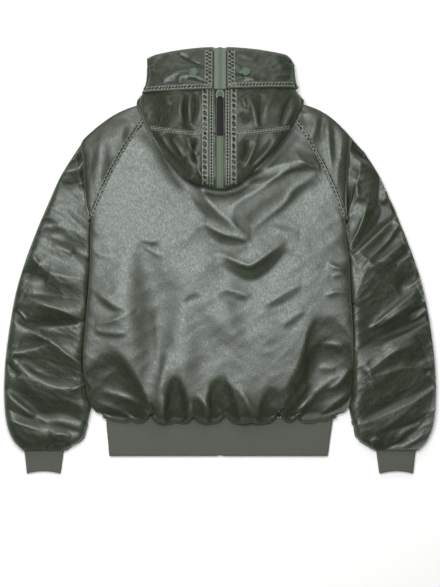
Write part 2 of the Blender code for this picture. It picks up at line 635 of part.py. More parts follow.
def build_chin(name, side, satin):
    """The hood's front part, up from the front neckline to the mouth."""
    grid = []
    for share in CHIN_SHARES:
        follow_y = CHIN_START_Y + (MOUTH_Y - CHIN_START_Y) * share * CHIN_TAPER
        wide = abs(outline(HOOD, follow_y, side)) - CHIN_INSET
        row = []
        for s in crowded(HALF_STEPS):
            x = side * (FRONT_INNER + (wide - FRONT_INNER) * s)
            neck = RAGLAN_TOP_Y + SEAM
            if abs(x) > RAGLAN_TOP_X:
                neck += (CHIN_START_Y - RAGLAN_TOP_Y) * (abs(x) - RAGLAN_TOP_X) / CHIN_SHOULDER
            else:
                neck -= FRONT_NECK_DIP * (1 - (x / RAGLAN_TOP_X) ** 2)
            mouth = MOUTH_Y - CHIN_BACK - MOUTH_BOW * (x / wide) ** 2
            row.append((x, neck + (mouth - neck) * share, edge_lift(s)))
        grid.append(row)
    slab(name, grid, SPLIT - LAYER / 2, satin)


def over_mouth(row, offset):
    """A line on the hood's mouth edge, carried round the edge at a distance from it."""
    path = []
    for turn in MOUTH_TURN:
        line = []
        for x, y in row:
            low, high = bed(x, y), hood_top(x, y)
            line.append((x, y + turn.out * offset, low + (high - low) * turn.level + turn.up * offset))
        path.append(line)
    return path


def turned_back(side_rows, offset, first_offset, proud):
    """A strip that lies on the hood from the brim's edge to the mouth, then rolls round the mouth."""
    grid = []
    for number, row in enumerate(side_rows[:-1]):
        height = first_offset if number == 0 else offset
        grid.append([(x, y, hood_top(x, y) + height) for x, y in row])
    grid += over_mouth(side_rows[-1], offset)
    if proud:
        steps = crowded(HALF_STEPS)
        grid = [[(x + proud * s ** 4, y, z) for (x, y, z), s in zip(row, steps)] for row in grid]
    return grid


def build_brim(name, side, satin):
    rows = [hood_row(y, side, BRIM_INNER) for y in HOOD_TOP_ROWS if y >= BRIM_EDGE_Y]
    outer = turned_back(rows, BRIM_THICK, BRIM_THICK * BRIM_EDGE_SHARE, side * BRIM_PROUD)
    inner = turned_back(rows, LAYER, LAYER, side * LAYER)
    wall(name, outer, inner, satin)


def strip_rows(rows, half):
    return [[(-half, y), (0.0, y), (half, y)] for y in rows]


def build_hood_zip(tape):
    """The closed zip down the middle of the hood, sunk between its halves."""
    rows = HOOD_BACK_ROWS + (CROSS_SEAM_Y,) + HOOD_TOP_ROWS
    plan = strip_rows(rows, ZIP_HALF)
    outer = [[(x, y, hood_top(x, y) - ZIP_SUNK) for x, y in row] for row in plan]
    inner = [[(x, y, z - ZIP_THICK) for x, y, z in row] for row in outer]
    wall("hood_zip", outer, inner, tape)


def build_brim_zip(tape):
    """The zip's other face, turned back with the brim."""
    rows = strip_rows([y for y in HOOD_TOP_ROWS if y >= BRIM_EDGE_Y], BRIM_ZIP_HALF)
    outer = turned_back(rows, BRIM_ZIP_OVER, BRIM_ZIP_OVER, 0.0)
    inner = turned_back(rows, BRIM_ZIP_UNDER, BRIM_ZIP_UNDER, 0.0)
    wall("brim_zip", outer, inner, tape)


# ---------------------------------------------------------------- hardware
def box_points(x0, x1, y0, y1, z0, z1):
    return [(x, y, z) for z in (z0, z1) for x, y in ((x0, y0), (x1, y0), (x1, y1), (x0, y1))]


BOX_FACES = [[0, 1, 2, 3], [4, 5, 6, 7], [0, 1, 5, 4], [1, 2, 6, 5], [2, 3, 7, 6], [3, 0, 4, 7]]


def add_box(name, finish, *sizes):
    return add_object(name, box_points(*sizes), BOX_FACES, finish, smooth=False)


def extrude_x(name, profile, half, finish):
    """A profile in Y and Z, made solid along X."""
    count = len(profile)
    points = [(x, y, z) for x in (-half, half) for y, z in profile]
    sides = [[i, (i + 1) % count, count + (i + 1) % count, count + i] for i in range(count)]
    faces = [list(range(count)), list(range(count, 2 * count))] + sides
    return add_object(name, points, faces, finish, smooth=False)


def slope_at(surface, x, y, step=0.004):
    """Slope of a surface along Y."""
    return (surface(x, y + step) - surface(x, y - step)) / (2 * step)


def bridge_profile():
    """The slider's bridge from the side: two feet and a rounded bar over the pull's wire."""
    arc = [radians(a) for a in range(0, 181, 30)]
    tall, wide = BRIDGE_HIGH - PIN_HEIGHT, BRIDGE_HALF_Y
    outer = [(wide * cos(a), PIN_HEIGHT + tall * sin(a)) for a in arc]
    gap_wide, gap_tall = wide - BRIDGE_BAR, tall - BRIDGE_BAR
    gap = [(gap_wide * cos(a), PIN_HEIGHT + gap_tall * sin(a)) for a in reversed(arc)]
    foot = SLIDER_PLATE / 2
    return [(wide, foot)] + outer + [(-wide, foot), (-gap_wide, foot)] + gap + [(gap_wide, foot)]


def build_slider(metal):
    """The hood's slider: a plate on the zip and a bridge that holds the pull."""
    slope = slope_at(hood_top, 0.0, SLIDER_Y)
    place = Vector((0.0, SLIDER_Y, hood_top(0.0, SLIDER_Y)))
    frame = Matrix.Translation(place) @ Matrix.Rotation(atan(slope), 4, "X")
    plate = add_box("hood_slider", metal, -SLIDER_HALF_X, SLIDER_HALF_X, -SLIDER_HALF_Y, SLIDER_HALF_Y,
                    0.0, SLIDER_PLATE)
    bridge = extrude_x("bridge_guide", bridge_profile(), BRIDGE_HALF_X, metal)
    bridge.hide_render = True
    bridge.display_type = "WIRE"
    bridge.parent = plate
    join = plate.modifiers.new("bridge", "BOOLEAN")
    join.operation = "UNION"
    join.object = bridge
    plate.matrix_world = frame
    return frame @ Vector((0.0, 0.0, PIN_HEIGHT))


def bail_path():
    """The wire's middle line: round at the slider, then down to a straight bar."""
    arc = [radians(a) for a in range(0, 181, 15)]
    points = [(BAIL_RADIUS * cos(a), BAIL_RADIUS * (sin(a) - 1)) for a in arc]
    for turn, side in ((180, -1), (270, 1)):
        for a in (turn, turn + 30, turn + 60, turn + 90):
            points.append((side * (BAIL_RADIUS - BAIL_CORNER) + BAIL_CORNER * cos(radians(a)),
                           -(BAIL_LENGTH - BAIL_CORNER) + BAIL_CORNER * sin(radians(a))))
    return points


def build_pull(pin, metal, leather):
    """The hood's pull: a wire bail that turns in the bridge, and the tab sewn on it."""
    frame = Matrix.Translation(pin) @ Matrix.Rotation(-PULL_LIFT, 4, "X")
    curve = bpy.data.curves.new("hood_bail", "CURVE")
    curve.dimensions = "3D"
    curve.bevel_depth = WIRE
    curve.bevel_resolution = 2
    line = curve.splines.new("POLY")
    path = bail_path()
    line.points.add(len(path) - 1)
    for point, (x, y) in zip(line.points, path):
        point.co = (x, y, 0.0, 1.0)
    line.use_cyclic_u = True
    curve.materials.append(metal)
    bail = bpy.data.objects.new("hood_bail", curve)
    bpy.context.scene.collection.objects.link(bail)
    bail.matrix_world = frame
    tab = add_box("hood_tab", leather, -TAB_HALF, TAB_HALF, -TAB_END, -TAB_START,
                  -TAB_THICK / 2, TAB_THICK / 2)
    rounding = tab.modifiers.new("rounded edges", "BEVEL")
    rounding.width = TAB_ROUND
    rounding.segments = 2
    tab.matrix_world = frame


def build_snaps(enamel):
    """A flat cap on each half of the brim, lying along its surface."""
    for name, (x, y) in SNAPS.items():
        work = bmesh.new()
        bmesh.ops.create_cone(work, cap_ends=True, segments=24, radius1=SNAP_RADIUS,
                              radius2=SNAP_RADIUS - SNAP_SLOPE, depth=SNAP_HEIGHT)
        mesh = bpy.data.meshes.new(name)
        work.to_mesh(mesh)
        work.free()
        mesh.materials.append(enamel)
        cap = bpy.data.objects.new(name, mesh)
        bpy.context.scene.collection.objects.link(cap)
        along_x = (hood_top(x + SNAP_REACH, y) - hood_top(x - SNAP_REACH, y)) / (2 * SNAP_REACH)
        normal = Vector((-along_x, -slope_at(hood_top, x, y, SNAP_REACH), 1)).normalized()
        seat = Vector((x, y, hood_top(x, y) + BRIM_THICK)) + normal * (SNAP_SEAT + SNAP_HEIGHT / 2)
        cap.matrix_world = Matrix.Translation(seat) @ normal.to_track_quat("Z", "Y").to_matrix().to_4x4()


def build_front_zip(tape, metal):
    """The front zip faces the surface, with its slider and pull flat in the gap between the fronts."""
    add_box("front_zip", tape, -FRONT_ZIP_HALF, FRONT_ZIP_HALF, HEM_BAND[-1].y + FRONT_ZIP_BOTTOM,
            MOUTH_Y - FRONT_ZIP_TOP, FRONT_ZIP_LOW, FRONT_ZIP_HIGH)
    y = FRONT_SLIDER_Y
    add_box("front_slider", metal, -SLIDER_HALF_X, SLIDER_HALF_X, y, y + 2 * SLIDER_HALF_Y,
            FRONT_PLATE_LOW, FRONT_PLATE_HIGH)
    half = FRONT_PULL_THICK / 2
    eye = [(half * cos(angle), half * sin(angle)) for angle in (radians(a) for a in range(-90, 91, 30))]
    profile = [(-FRONT_PULL_LENGTH, -half)] + eye + [(-FRONT_PULL_LENGTH, half)]
    pull = extrude_x("front_pull", profile, FRONT_PULL_HALF, metal)
    pull.location = (0.0, y - FRONT_PIN_GAP, FRONT_PIN_HEIGHT)


# ---------------------------------------------------------------- the whole parka
def main():
    for old in list(bpy.data.objects):
        bpy.data.objects.remove(old, do_unlink=True)
    satin = material("olive satin", (0.075, 0.085, 0.065), 0.45)
    knit = material("olive rib knit", (0.105, 0.115, 0.090), 0.90)
    tape = material("green zip tape", (0.160, 0.190, 0.150), 0.70)
    metal = material("dark zip metal", (0.120, 0.125, 0.115), 0.35, metallic=1.0)
    leather = material("black leather", (0.020, 0.020, 0.021), 0.55)
    enamel = material("green enamel", (0.110, 0.230, 0.115), 0.30)

    build_back(satin)
    for side, word, folds in ((-1, "left", LEFT_FOLDS), (1, "right", RIGHT_FOLDS)):
        build_front("front_" + word, side, satin)
        build_sleeve(word, side, folds, satin)
        build_band("cuff_" + word, CUFF_BAND, knit, side=side, bow=CUFF_END_BOW)
        build_chin("hood_chin_" + word, side, satin)
        build_hood_half("hood_back_" + word, side, HOOD_BACK_ROWS + (CROSS_SEAM_Y - SEAM / 2,), satin)
        build_hood_half("hood_top_" + word, side, (CROSS_SEAM_Y + SEAM / 2,) + HOOD_TOP_ROWS, satin)
        build_brim("brim_" + word, side, satin)
    build_band("hem_rib", HEM_BAND, knit, slit=FRONT_INNER)
    build_under(satin)
    build_hood_zip(tape)
    build_brim_zip(tape)
    build_pull(build_slider(metal), metal, leather)
    build_snaps(enamel)
    build_front_zip(tape, metal)


main()
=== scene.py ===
"""A hooded flight parka in washed satin nylon, laid on its front with its hood thrown back.

Metres, +Z up. +Y runs from the hem to the head and the coat's back faces up. Each cut piece is a thin
closed shell on the form of its solid, with its creases placed one by one. The tables are in millimetres.
"""

import json
import logging
from collections.abc import Callable
from dataclasses import dataclass
from enum import Enum
from itertools import starmap
from math import cos, pi, radians, sin, tan

import bmesh
import bpy
import numpy as np
from mathutils import Matrix, Vector, noise
from mathutils.bvhtree import BVHTree

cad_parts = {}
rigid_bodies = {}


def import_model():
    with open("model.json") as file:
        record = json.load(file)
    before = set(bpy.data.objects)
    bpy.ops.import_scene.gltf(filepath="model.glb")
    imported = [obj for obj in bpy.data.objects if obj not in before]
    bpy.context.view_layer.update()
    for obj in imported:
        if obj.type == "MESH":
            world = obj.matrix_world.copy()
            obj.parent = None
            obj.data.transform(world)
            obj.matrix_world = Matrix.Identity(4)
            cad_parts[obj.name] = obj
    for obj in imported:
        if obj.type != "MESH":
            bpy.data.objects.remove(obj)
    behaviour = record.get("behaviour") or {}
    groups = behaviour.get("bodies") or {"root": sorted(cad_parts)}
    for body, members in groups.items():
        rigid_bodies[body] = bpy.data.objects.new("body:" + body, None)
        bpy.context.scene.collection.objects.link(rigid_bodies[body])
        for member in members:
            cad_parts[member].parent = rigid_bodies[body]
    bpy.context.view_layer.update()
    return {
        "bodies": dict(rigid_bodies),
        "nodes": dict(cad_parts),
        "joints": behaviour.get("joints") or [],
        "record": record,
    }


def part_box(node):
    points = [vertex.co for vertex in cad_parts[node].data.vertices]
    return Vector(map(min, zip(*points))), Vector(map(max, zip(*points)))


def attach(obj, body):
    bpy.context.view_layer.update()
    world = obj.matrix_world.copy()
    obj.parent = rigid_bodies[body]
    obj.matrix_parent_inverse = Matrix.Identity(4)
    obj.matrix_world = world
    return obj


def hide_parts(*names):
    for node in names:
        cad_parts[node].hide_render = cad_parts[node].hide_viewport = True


LOG = logging.getLogger("parka")
Array = np.ndarray
Tree = bpy.types.NodeTree
Node = bpy.types.Node
Socket = bpy.types.NodeSocket
Material = bpy.types.Material
Piece = bpy.types.Object

MM = 0.001
COAT = "coat"  # the body that every piece but the two pulls rides on
SPLIT = 0.0150  # height of the side seams
CLOTH = 0.0011  # thickness of the shell: satin, wadding and lining pressed at a seam
FLOOR_GAP = 0.0004  # height of the lower layer's face over the surface
EDGE_GAP = 0.0002  # between the two layers' edges at the split
UNDERARM_Y = 0.0830
RAGLAN_TOP = (0.1180, 0.3040)
RAGLAN_BOW = 0.0110
ZIP_HALF = 0.0078  # from the middle to the fronts' edges, beside the front zip
FRONT_DIP = 0.035  # how far the front neckline dips in its middle
TAPE_LOW = 0.0200  # height of the zip's end, round the mouth
MOUTH_Y, BRIM_EDGE_Y, CROSS_SEAM_Y, TIP_Y = 0.3990, 0.3240, 0.2380, 0.1350
BRIM_TILT = 0.034  # the brim's sewn edge climbs to the right by this slope
UNDER_SHARE, UNDER_LIMIT = 0.6, 0.0035  # share of a crease's depth that shows below, and the most of it
# crests are painted pale, partly wear and partly painted highlight, and dents dark, as painted shade
WEAR_AND_SHADE_BEND = 260.0  # in 1/m: the bend of the palest crest and of the darkest dent


class Side(Enum):
    """The wearer's left and right; the value is the sign of X."""

    LEFT = -1
    RIGHT = 1

    @property
    def word(self) -> str:
        """The side's name, as it stands in the pieces' names."""
        return self.name.lower()


# ---- tables of sizes
class Sizes:
    """Sizes in millimetres, listed along one direction and read by a smooth curve through the rows."""

    def __init__(self, columns: str, rows: list[tuple[float, ...]], unit: float = MM) -> None:
        """Keeps the rows.

        Args:
            columns: the names of the columns, the first of which is the direction.
            rows: one tuple for each row, in rising order.
            unit: the direction's unit, in metres.
        """
        table = np.array(rows, float)
        self.where = table[:, 0] * unit
        self.columns = {name: table[:, i + 1] * MM for i, name in enumerate(columns.split()[1:])}

    def at(self, where: Array | float, column: str) -> Array:
        """Reads a column.

        Args:
            where: places along the table's direction.
            column: the column's name.

        Returns:
            The column's value at each place.
        """
        known, values = self.where, self.columns[column]
        slopes = np.gradient(values, known)
        place = np.clip(where, known[0], known[-1])
        low = np.clip(np.searchsorted(known, place, side="right") - 1, 0, len(known) - 2)
        gap = known[low + 1] - known[low]
        t = (place - known[low]) / gap
        rise = t * t * (3 - 2 * t)
        return (values[low] * (1 - rise) + values[low + 1] * rise
                + slopes[low] * gap * t * (1 - t) ** 2 - slopes[low + 1] * gap * t * t * (1 - t))


TORSO = Sizes("y left right crown edge", [
    (-299, -223.5, 221.5, 33, 19), (-287, -237.5, 237.5, 36, 20), (-264, -250.8, 250.8, 38.5, 21),
    (-240, -255, 252.5, 39.5, 21.5), (-210, -259, 253.2, 40, 21.5), (-175, -260, 253.5, 40, 21.5),
    (-135, -257, 252.7, 40, 21.5), (-90, -253, 250, 40, 21.5), (-45, -249.5, 247.5, 40, 21.5),
    (0, -247, 245.5, 40, 21.5), (43, -246.5, 240, 40, 22), (83, -246, 238, 40, 24),
    (110, -252, 236.5, 40, 29), (150, -254.5, 237.5, 40, 31), (190, -257, 240, 39.5, 31),
    (230, -259, 243, 39, 27), (241.5, -249, 243, 38.5, 22), (253, -236, 231, 38, 20.5),
    (264, -220, 217, 37, 20), (276, -205, 203, 36, 19.5), (287, -186, 183, 35, 19),
    (298, -160, 158, 34, 18.5), (307, -130, 130, 33, 18)])
ARM = Sizes("row x y inner_y crown", [  # rows are counted down the arm from the cap's fold
    (0, 275.5, 207, 61, 30), (1, 303.5, 162, 18, 34), (2, 327, 110, -22, 37), (3, 350, 56, -62, 38.5),
    (4, 371, 0, -102, 39.5), (5, 388, -57, -140, 40), (6, 400, -120, -180, 40.5),
    (7, 408.5, -185, -222, 40.5), (8, 411.5, -240, -258, 40), (9, 410, -285, -291, 38.5),
    (10, 404.5, -318, -320, 36), (11, 394, -342, -342, 31), (12, 382.5, -355, -354.5, 24.5),
    (13, 376.5, -360.5, -360.5, 19)], unit=1)
ARM_INNER = Sizes("y x", [
    (-360.5, 294), (-354, 284), (-342, 265), (-320, 255.5), (-288, 247.5)])
HOOD = Sizes("y left right crown bed droop", [
    (135, -16, 12, 56, 50, 1), (138.7, -28.5, 23, 59, 50, 2), (144, -44, 34.5, 61.5, 50.2, 3),
    (153.9, -66.5, 48, 64, 50.5, 4), (172.9, -83.5, 66.5, 65.5, 50.8, 5),
    (201.4, -104.5, 96.5, 66.5, 51, 6), (225, -119, 115, 66.7, 51, 8), (248.9, -133, 133, 66.2, 50.8, 8),
    (272, -143, 145, 65.2, 50.5, 9.5), (296.4, -151, 153.5, 63.5, 49.8, 12),
    (311.6, -150, 151, 61.8, 47.5, 16.5), (325, -143, 144.5, 59.5, 44, 20),
    (345, -136.5, 140, 53, 36.5, 16), (367, -135, 138.5, 44, 27.5, 8), (385, -134.5, 137.5, 37, 21.5, 4),
    (399, -134, 136.5, 33.5, 18, 1)])
HOOD_BOW = Sizes("y rise", [(135, 0), (238, 13), (324, 0), (399, -18.5)])


# ---- creases
@dataclass(frozen=True)
class Crease:
    """One fold of the cloth, in millimetres: a ridge, or a valley where its height is below zero.

    A path lists x and y by turns. The fold's two sides may differ, so that one falls steeply and the other
    gently. Left and right are those of someone who walks along the path. A low sharp gives a pinched
    crest, and 2 a round one.
    """

    path: tuple[float, ...]
    height: float
    left: float
    right: float
    sharp: float = 1.4
    fade: float = 0.6

    def relief(self, x: Array, y: Array) -> Array:
        """Shapes the fold.

        Args:
            x: places across the coat.
            y: places along it.

        Returns:
            How far it lifts the cloth at each place.
        """
        near, off, place = beside(self.path, x, y, 3 * max(self.left, self.right) * MM)
        width = np.where(off < 0, self.left, self.right) * MM
        ends = np.sin(pi * place) ** self.fade
        lifted = np.zeros_like(x)
        lifted[near] = self.height * MM * ends * np.exp(-((np.abs(off) / width) ** self.sharp))
        return lifted


@dataclass(frozen=True)
class Fall:
    """A band where the cloth falls away to the right of someone who walks along its middle.

    The band is as wide as it says and tilts by some degrees. Its left edge is a raised crest, both its
    ends run out to a point, and beyond its edges the cloth comes back to its level over the tail.
    A soft one has round edges.
    """

    path: tuple[float, ...]
    width: float
    tilt: float
    tail: float
    lip: float = 0.9
    fade: float = 0.6
    soft: bool = False

    def relief(self, x: Array, y: Array) -> Array:
        """Shapes the band.

        Args:
            x: places across the coat.
            y: places along it.

        Returns:
            How far it lifts or lowers the cloth at each place.
        """
        near, off, place = beside(self.path, x, y, (self.width + 2.5 * self.tail) * MM)
        ends = np.sin(pi * place) ** self.fade
        half = self.width / 2 * MM * (0.35 + 0.65 * ends)
        beyond = np.clip(np.abs(off) - half, 0, None) / (self.tail * MM)
        deep = tan(radians(self.tilt)) * self.width / 2 * MM * ends
        crest = self.lip * MM * ends * np.exp(-(((off + half) / (5 * MM)) ** 2))
        if self.soft:
            profile = off / half * np.exp((1 - (off / half) ** 2) / 2)
        else:
            profile = np.clip(off / half, -1, 1) * np.exp(-(beyond ** 1.6))
        lifted = np.zeros_like(x)
        lifted[near] = crest - deep * profile
        return lifted


@dataclass(frozen=True)
class Puff:
    """A puff over the rib: below its crest line, drawn from left to right, the cloth falls to the seam.

    It tilts by some degrees at first and falls no more than its drop. A puff that lies over its
    neighbour also rises at its crest.
    """

    crest: tuple[float, ...]
    tilt: float
    drop: float
    rise: float = 0.0

    def relief(self, x: Array, y: Array) -> Array:
        """Shapes the puff.

        Args:
            x: places across the coat.
            y: places along it.

        Returns:
            How far it lowers the cloth at each place.
        """
        line = drawn(self.crest)
        line = line[np.argsort(line[:, 0])]
        edge = np.interp(x, line[:, 0], line[:, 1])
        steep = np.interp(x + MM, line[:, 0], line[:, 1]) - edge
        soft = 3 * MM
        below = np.logaddexp(0, (edge - y) / soft) * soft
        step = np.clip((edge - y) / np.sqrt(1 + (steep / MM) ** 2) / (16 * MM), 0, 1)
        fall = self.drop * MM * (1 - np.exp(-below * tan(radians(self.tilt)) / (self.drop * MM)))
        return self.rise * MM * step * step * (3 - 2 * step) - fall


def beside(path: tuple[float, ...], x: Array, y: Array, reach: float) -> tuple[Array, Array, Array]:
    """Finds places beside a path.

    Args:
        path: its points, in millimetres.
        x: places across the coat.
        y: places along it.
        reach: how far from the path places count.

    Returns:
        Which places lie near, how far each of those lies to the path's right, and where along the path
        from 0 to 1.
    """
    line = drawn(path)
    low, high = line.min(0) - reach, line.max(0) + reach
    near = (x > low[0]) & (x < high[0]) & (y > low[1]) & (y < high[1])
    if not near.any():
        return near, np.empty(0), np.empty(0)
    spot = np.stack([x[near], y[near]], -1)
    start, run = line[:-1], np.diff(line, axis=0)
    length = np.linalg.norm(run, axis=1)
    along = np.cumsum(np.concatenate([[0], length]))
    offset = spot[:, None, :] - start[None]
    share = np.clip((offset * run).sum(-1) / (length ** 2), 0, 1)
    away = offset - share[..., None] * run
    nearest = (away ** 2).sum(-1).argmin(1)
    pick = np.arange(len(spot))
    gap = away[pick, nearest]
    turn = run[nearest, 1] * gap[:, 0] - run[nearest, 0] * gap[:, 1]
    place = (along[nearest] + share[pick, nearest] * length[nearest]) / along[-1]
    return near, np.linalg.norm(gap, axis=1) * np.sign(turn), np.clip(place, 0, 1)


def drawn(path: tuple[float, ...], steps: int = 7) -> Array:
    """Draws a smooth curve through a path.

    Args:
        path: its points, in millimetres.
        steps: pieces between two of them.

    Returns:
        The curve's points, in metres.
    """
    points = np.array(path, float).reshape(-1, 2) * MM
    wide = np.vstack([2 * points[0] - points[1], points, 2 * points[-1] - points[-2]])
    curve = []
    for a, b, c, d in zip(wide, wide[1:], wide[2:], wide[3:]):
        for t in np.linspace(0, 1, steps, endpoint=False):
            curve.append(0.5 * (2 * b + (c - a) * t + (2 * a - 5 * b + 4 * c - d) * t ** 2
                                + (3 * b - a - 3 * c + d) * t ** 3))
    return np.array(curve + [points[-1]])


def relief(creases: list[Crease | Fall | Puff], x: Array, y: Array) -> Array:
    """Adds up creases.

    Args:
        creases: the creases.
        x: places across the coat.
        y: places along it.

    Returns:
        How far they lift the cloth at each place.
    """
    total = np.zeros_like(x)
    for crease in creases:
        total += crease.relief(x, y)
    return total


def crumple(x: Array, y: Array, size: float, height: float, seed: float, lean: float = 0.0,
            stretch: float = 1.0) -> Array:
    """Fine unevenness of washed cloth: small sharp wrinkles.

    Args:
        x: places across the coat.
        y: places along it.
        size: rough distance between wrinkles, in metres.
        height: rough height of a wrinkle, in metres.
        seed: another pattern for another piece.
        lean: the direction that the wrinkles run in, in degrees from X.
        stretch: how much longer they are than they are wide.

    Returns:
        How far the cloth is lifted at each place.
    """
    c, s = cos(radians(lean)), sin(radians(lean))
    along, over = (x * c + y * s) / (size * stretch), (y * c - x * s) / size
    values = [noise.ridged_multi_fractal((a, b, seed), 1.0, 2.1, 3, 1.0, 1.4)
              for a, b in zip(along.ravel(), over.ravel())]
    values = np.array(values).reshape(x.shape)
    return (values - values.mean()) * height


PUFFS = [
    # over the rib, from the left
    Puff((-275, -212, -258, -200, -240, -188, -225, -178, -210, -174, -195, -177, -180, -187, -165, -206,
      -152, -230, -142, -256, -135, -282, -130, -330), 13, 24),
    Puff((-108, -330, -104, -268, -98, -238, -90, -223, -80, -220, -72, -232, -64, -256, -55, -282, -48,
      -330), 15, 20),
    Puff((-62, -330, -52, -272, -42, -262, -28, -278, -8, -330), 13, 12),
    Puff((-26, -330, -20, -246, -12, -227, 3, -219, 17, -232, 25, -252, 34, -274, 44, -330), 15, 20),
    Puff((60, -330, 74, -280, 86, -250, 100, -240, 116, -244, 128, -238, 140, -216, 152, -190, 161, -160,
      168, -130, 181, -110, 200, -104, 219, -110, 238, -128, 256, -150), 13, 10),
    Puff((108, -330, 126, -268, 143, -240, 160, -202, 169, -176, 182, -157, 198, -149, 216, -151, 240,
      -160, 256, -172), 14, 13)]
TORSO_CREASES = [
    # from under the hood across the shoulder blades, down to the middle
    Fall((-114, 240, -79, 174, -50, 135, -32, 106, -9, 83, 18, 62, 54, 33), 26, 18, 52, 0.7, 0.7),
    Fall((-36, 70, -10, 49, 16, 38, 54, 33), 20, 18, 34, 1.2),
    # the deep crescent in the middle
    Fall((-8, 12, 20, -8, 42, -20, 60, -23, 80, -12, 104, 9, 128, 34), 28, 16.5, 46, 1.5, 0.75),
    Crease((92, 66, 120, 55, 150, 52), 1.6, 8, 14, 1.5),
    # the broad hollow that drags towards the right armhole
    Fall((22, 88, 62, 100, 100, 118, 140, 150, 196, 176), 58, 8, 54, 0.8, 0.5),
    Fall((48, 164, 84, 165, 118, 174, 184, 186), 17, 12, 14, 0.8, 0.4),
    Crease((44, 146, 78, 149, 106, 159, 138, 174, 188, 179), 2.2, 6, 6, 1.5, 0.3),
    Crease((60, 62, 92, 84, 122, 110, 142, 138, 184, 163), 1.6, 6, 7, 1.5, 0.4),
    Crease((141, 204, 162, 184, 190, 176), 2.4, 6, 6, 1.3),
    # the left side's slack, running down to the rib
    Fall((-150, -262, -146, -140, -154, -50, -166, 48), 74, 9.0, 60, 0.0, 1.2, True),
    Crease((-116, -230, -118, -150, -124, -84), -1.6, 6, 20, 1.4, 0.9),
    Fall((-156, 38, -134, 31, -114, 37), 11, 11, 10, 0.4),
    Crease((-164, 38, -136, 24, -106, 5), 1.2, 3, 4, 1.5),
    Fall((-40, -268, -54, -180, -58, -66), 62, 5.0, 50, 0.0, 1.2, True),
    Fall((44, -160, 30, -110, 16, -62), 46, 4.0, 40, 0.0, 1.2, True),
    Fall((84, -88, 112, -76, 156, -48), 15, 9, 18, 0.6), Fall((0, -58, 26, -65, 56, -74), 15, 9, 16, 0.6),
    Fall((120, -126, 142, -112, 164, -96), 12, 8, 14, 0.4),
    *starmap(Crease, [
        ((-116, -300, -112, -250, -106, -206, -98, -170), 3.4, 14, 12, 1.6),
        # small folds inside the puffs
        ((-222, -223, -210, -214, -198, -209), 1.2, 4, 5),
        ((-222, -249, -186, -257, -142, -275), 2.4, 5, 8, 1.3),
        ((-236, -268, -206, -280, -176, -292), 1.8, 7, 8),
        ((-264, -210, -252, -228, -240, -246), 2.0, 4, 6, 1.3),
        ((-186, -290, -178, -293, -166, -300), 1.6, 3, 4, 1.3),
        ((-120, -304, -108, -280, -104, -256), 2.6, 5, 6, 1.3),
        ((-110, -306, -98, -292, -94, -276), 2.2, 4, 4, 1.3),
        ((-66, -304, -58, -284, -66, -274), 3.0, 6, 7), ((-42, -252, -26, -276, -4, -302), 3.0, 7, 6, 1.3),
        ((-12, -268, 2, -284, 10, -290), -2.6, 4, 5, 1.3), ((4, -292, 12, -276, 22, -262), 3.0, 4, 5, 1.3),
        ((30, -236, 48, -262, 70, -304), 4.0, 9, 8, 1.3),
        ((-134, -306, -130, -288, -134, -270), -4.0, 5, 5, 1.3),
        ((124, -312, 162, -272, 204, -232, 254, -204), 5.5, 25, 22, 1.15, 0.4),
        ((172, -316, 204, -284, 234, -262, 262, -252), 4.5, 18, 22, 1.15, 0.4),
        ((194, -158, 214, -158, 234, -164), 2.6, 4, 8, 1.3), ((186, -206, 202, -202, 220, -206), 1.6, 5, 7),
        ((122, -288, 144, -262, 170, -233), 3.6, 8, 10, 1.3),
        ((140, -300, 160, -276, 180, -258), 2.8, 4, 5, 1.2),
        ((192, -308, 206, -302, 222, -292), 2.0, 3, 4, 1.3),
        ((206, -246, 226, -232, 246, -208), 3.0, 5, 9, 1.3),
        # small ones along both sides
        ((-70, -82, -54, -72, -38, -66), -1.4, 4, 4)]),
    Fall((-238, -62, -206, -88, -172, -98), 12, 9, 12, 0.5),
    Crease((-236, -120, -200, -112, -160, -92), 1.8, 6, 7, 1.5),
    Fall((-240, -134, -206, -142, -176, -140), 10, 8, 10, 0.4),
    *starmap(Crease, [
        ((202, -4, 224, -13, 248, -11), 3.0, 4, 8, 1.3), ((210, -30, 228, -26, 248, -32), 2.0, 5, 6, 1.3),
        ((198, -66, 222, -58, 250, -62), 2.6, 5, 8, 1.3), ((-246, 60, -228, 52, -206, 54), 1.2, 5, 6, 1.5),
        ((-244, 22, -226, 12, -204, 8), 1.4, 5, 6, 1.5)])]
BACK_CREASES = TORSO_CREASES + [
    # pressed down along the hood's outline, where its weight lies
    Crease(((-150, 256), (-118, 220), (-102, 195), (-84, 171), (-62, 150), (-36, 136), (0, 130), (30, 135),
            (54, 149), (80, 170), (104, 196), (128, 226), (152, 256)), -6.0, 8, 13, 1.5, 0.3)]
LEFT_CAP_CREASES = [
    Fall((-236, 112, -208, 180, -172, 262), 46, 9, 18, 0.0, 0.6, True),
    *starmap(Crease, [
        ((-204, 262, -210, 220, -206, 176, -214, 138), -1.2, 9, 9, 1.7),
        ((-222, 250, -228, 206, -224, 160), 0.9, 9, 9, 1.8),
        ((-180, 268, -186, 236, -180, 212), 1.1, 8, 7, 1.7),
        ((-170, 256, -173, 236, -176, 218), -0.8, 5, 5, 1.6),
        ((-160, 288, -166, 268, -160, 244), -0.8, 7, 6, 1.7),
        ((-238, 214, -244, 170, -238, 126, -244, 96), -1.3, 8, 9, 1.6)])]
RIGHT_CAP_CREASES = list(starmap(Crease, [
    ((186, 284, 180, 254, 172, 228, 178, 196), 2.2, 7, 7, 1.5),
    ((196, 280, 193, 252, 190, 226), -2.4, 6, 6, 1.5),
    ((203, 276, 205, 236, 209, 196, 212, 166), 2.2, 7, 8, 1.6),
    ((214, 262, 219, 226, 222, 188), -1.4, 6, 6, 1.7),
    ((230, 250, 230, 216, 224, 176, 222, 140), 1.7, 8, 7, 1.7),
    ((156, 292, 160, 274, 158, 254), -1.4, 6, 6, 1.6), ((146, 284, 162, 278, 178, 284), 1.1, 5, 5, 1.5)]))
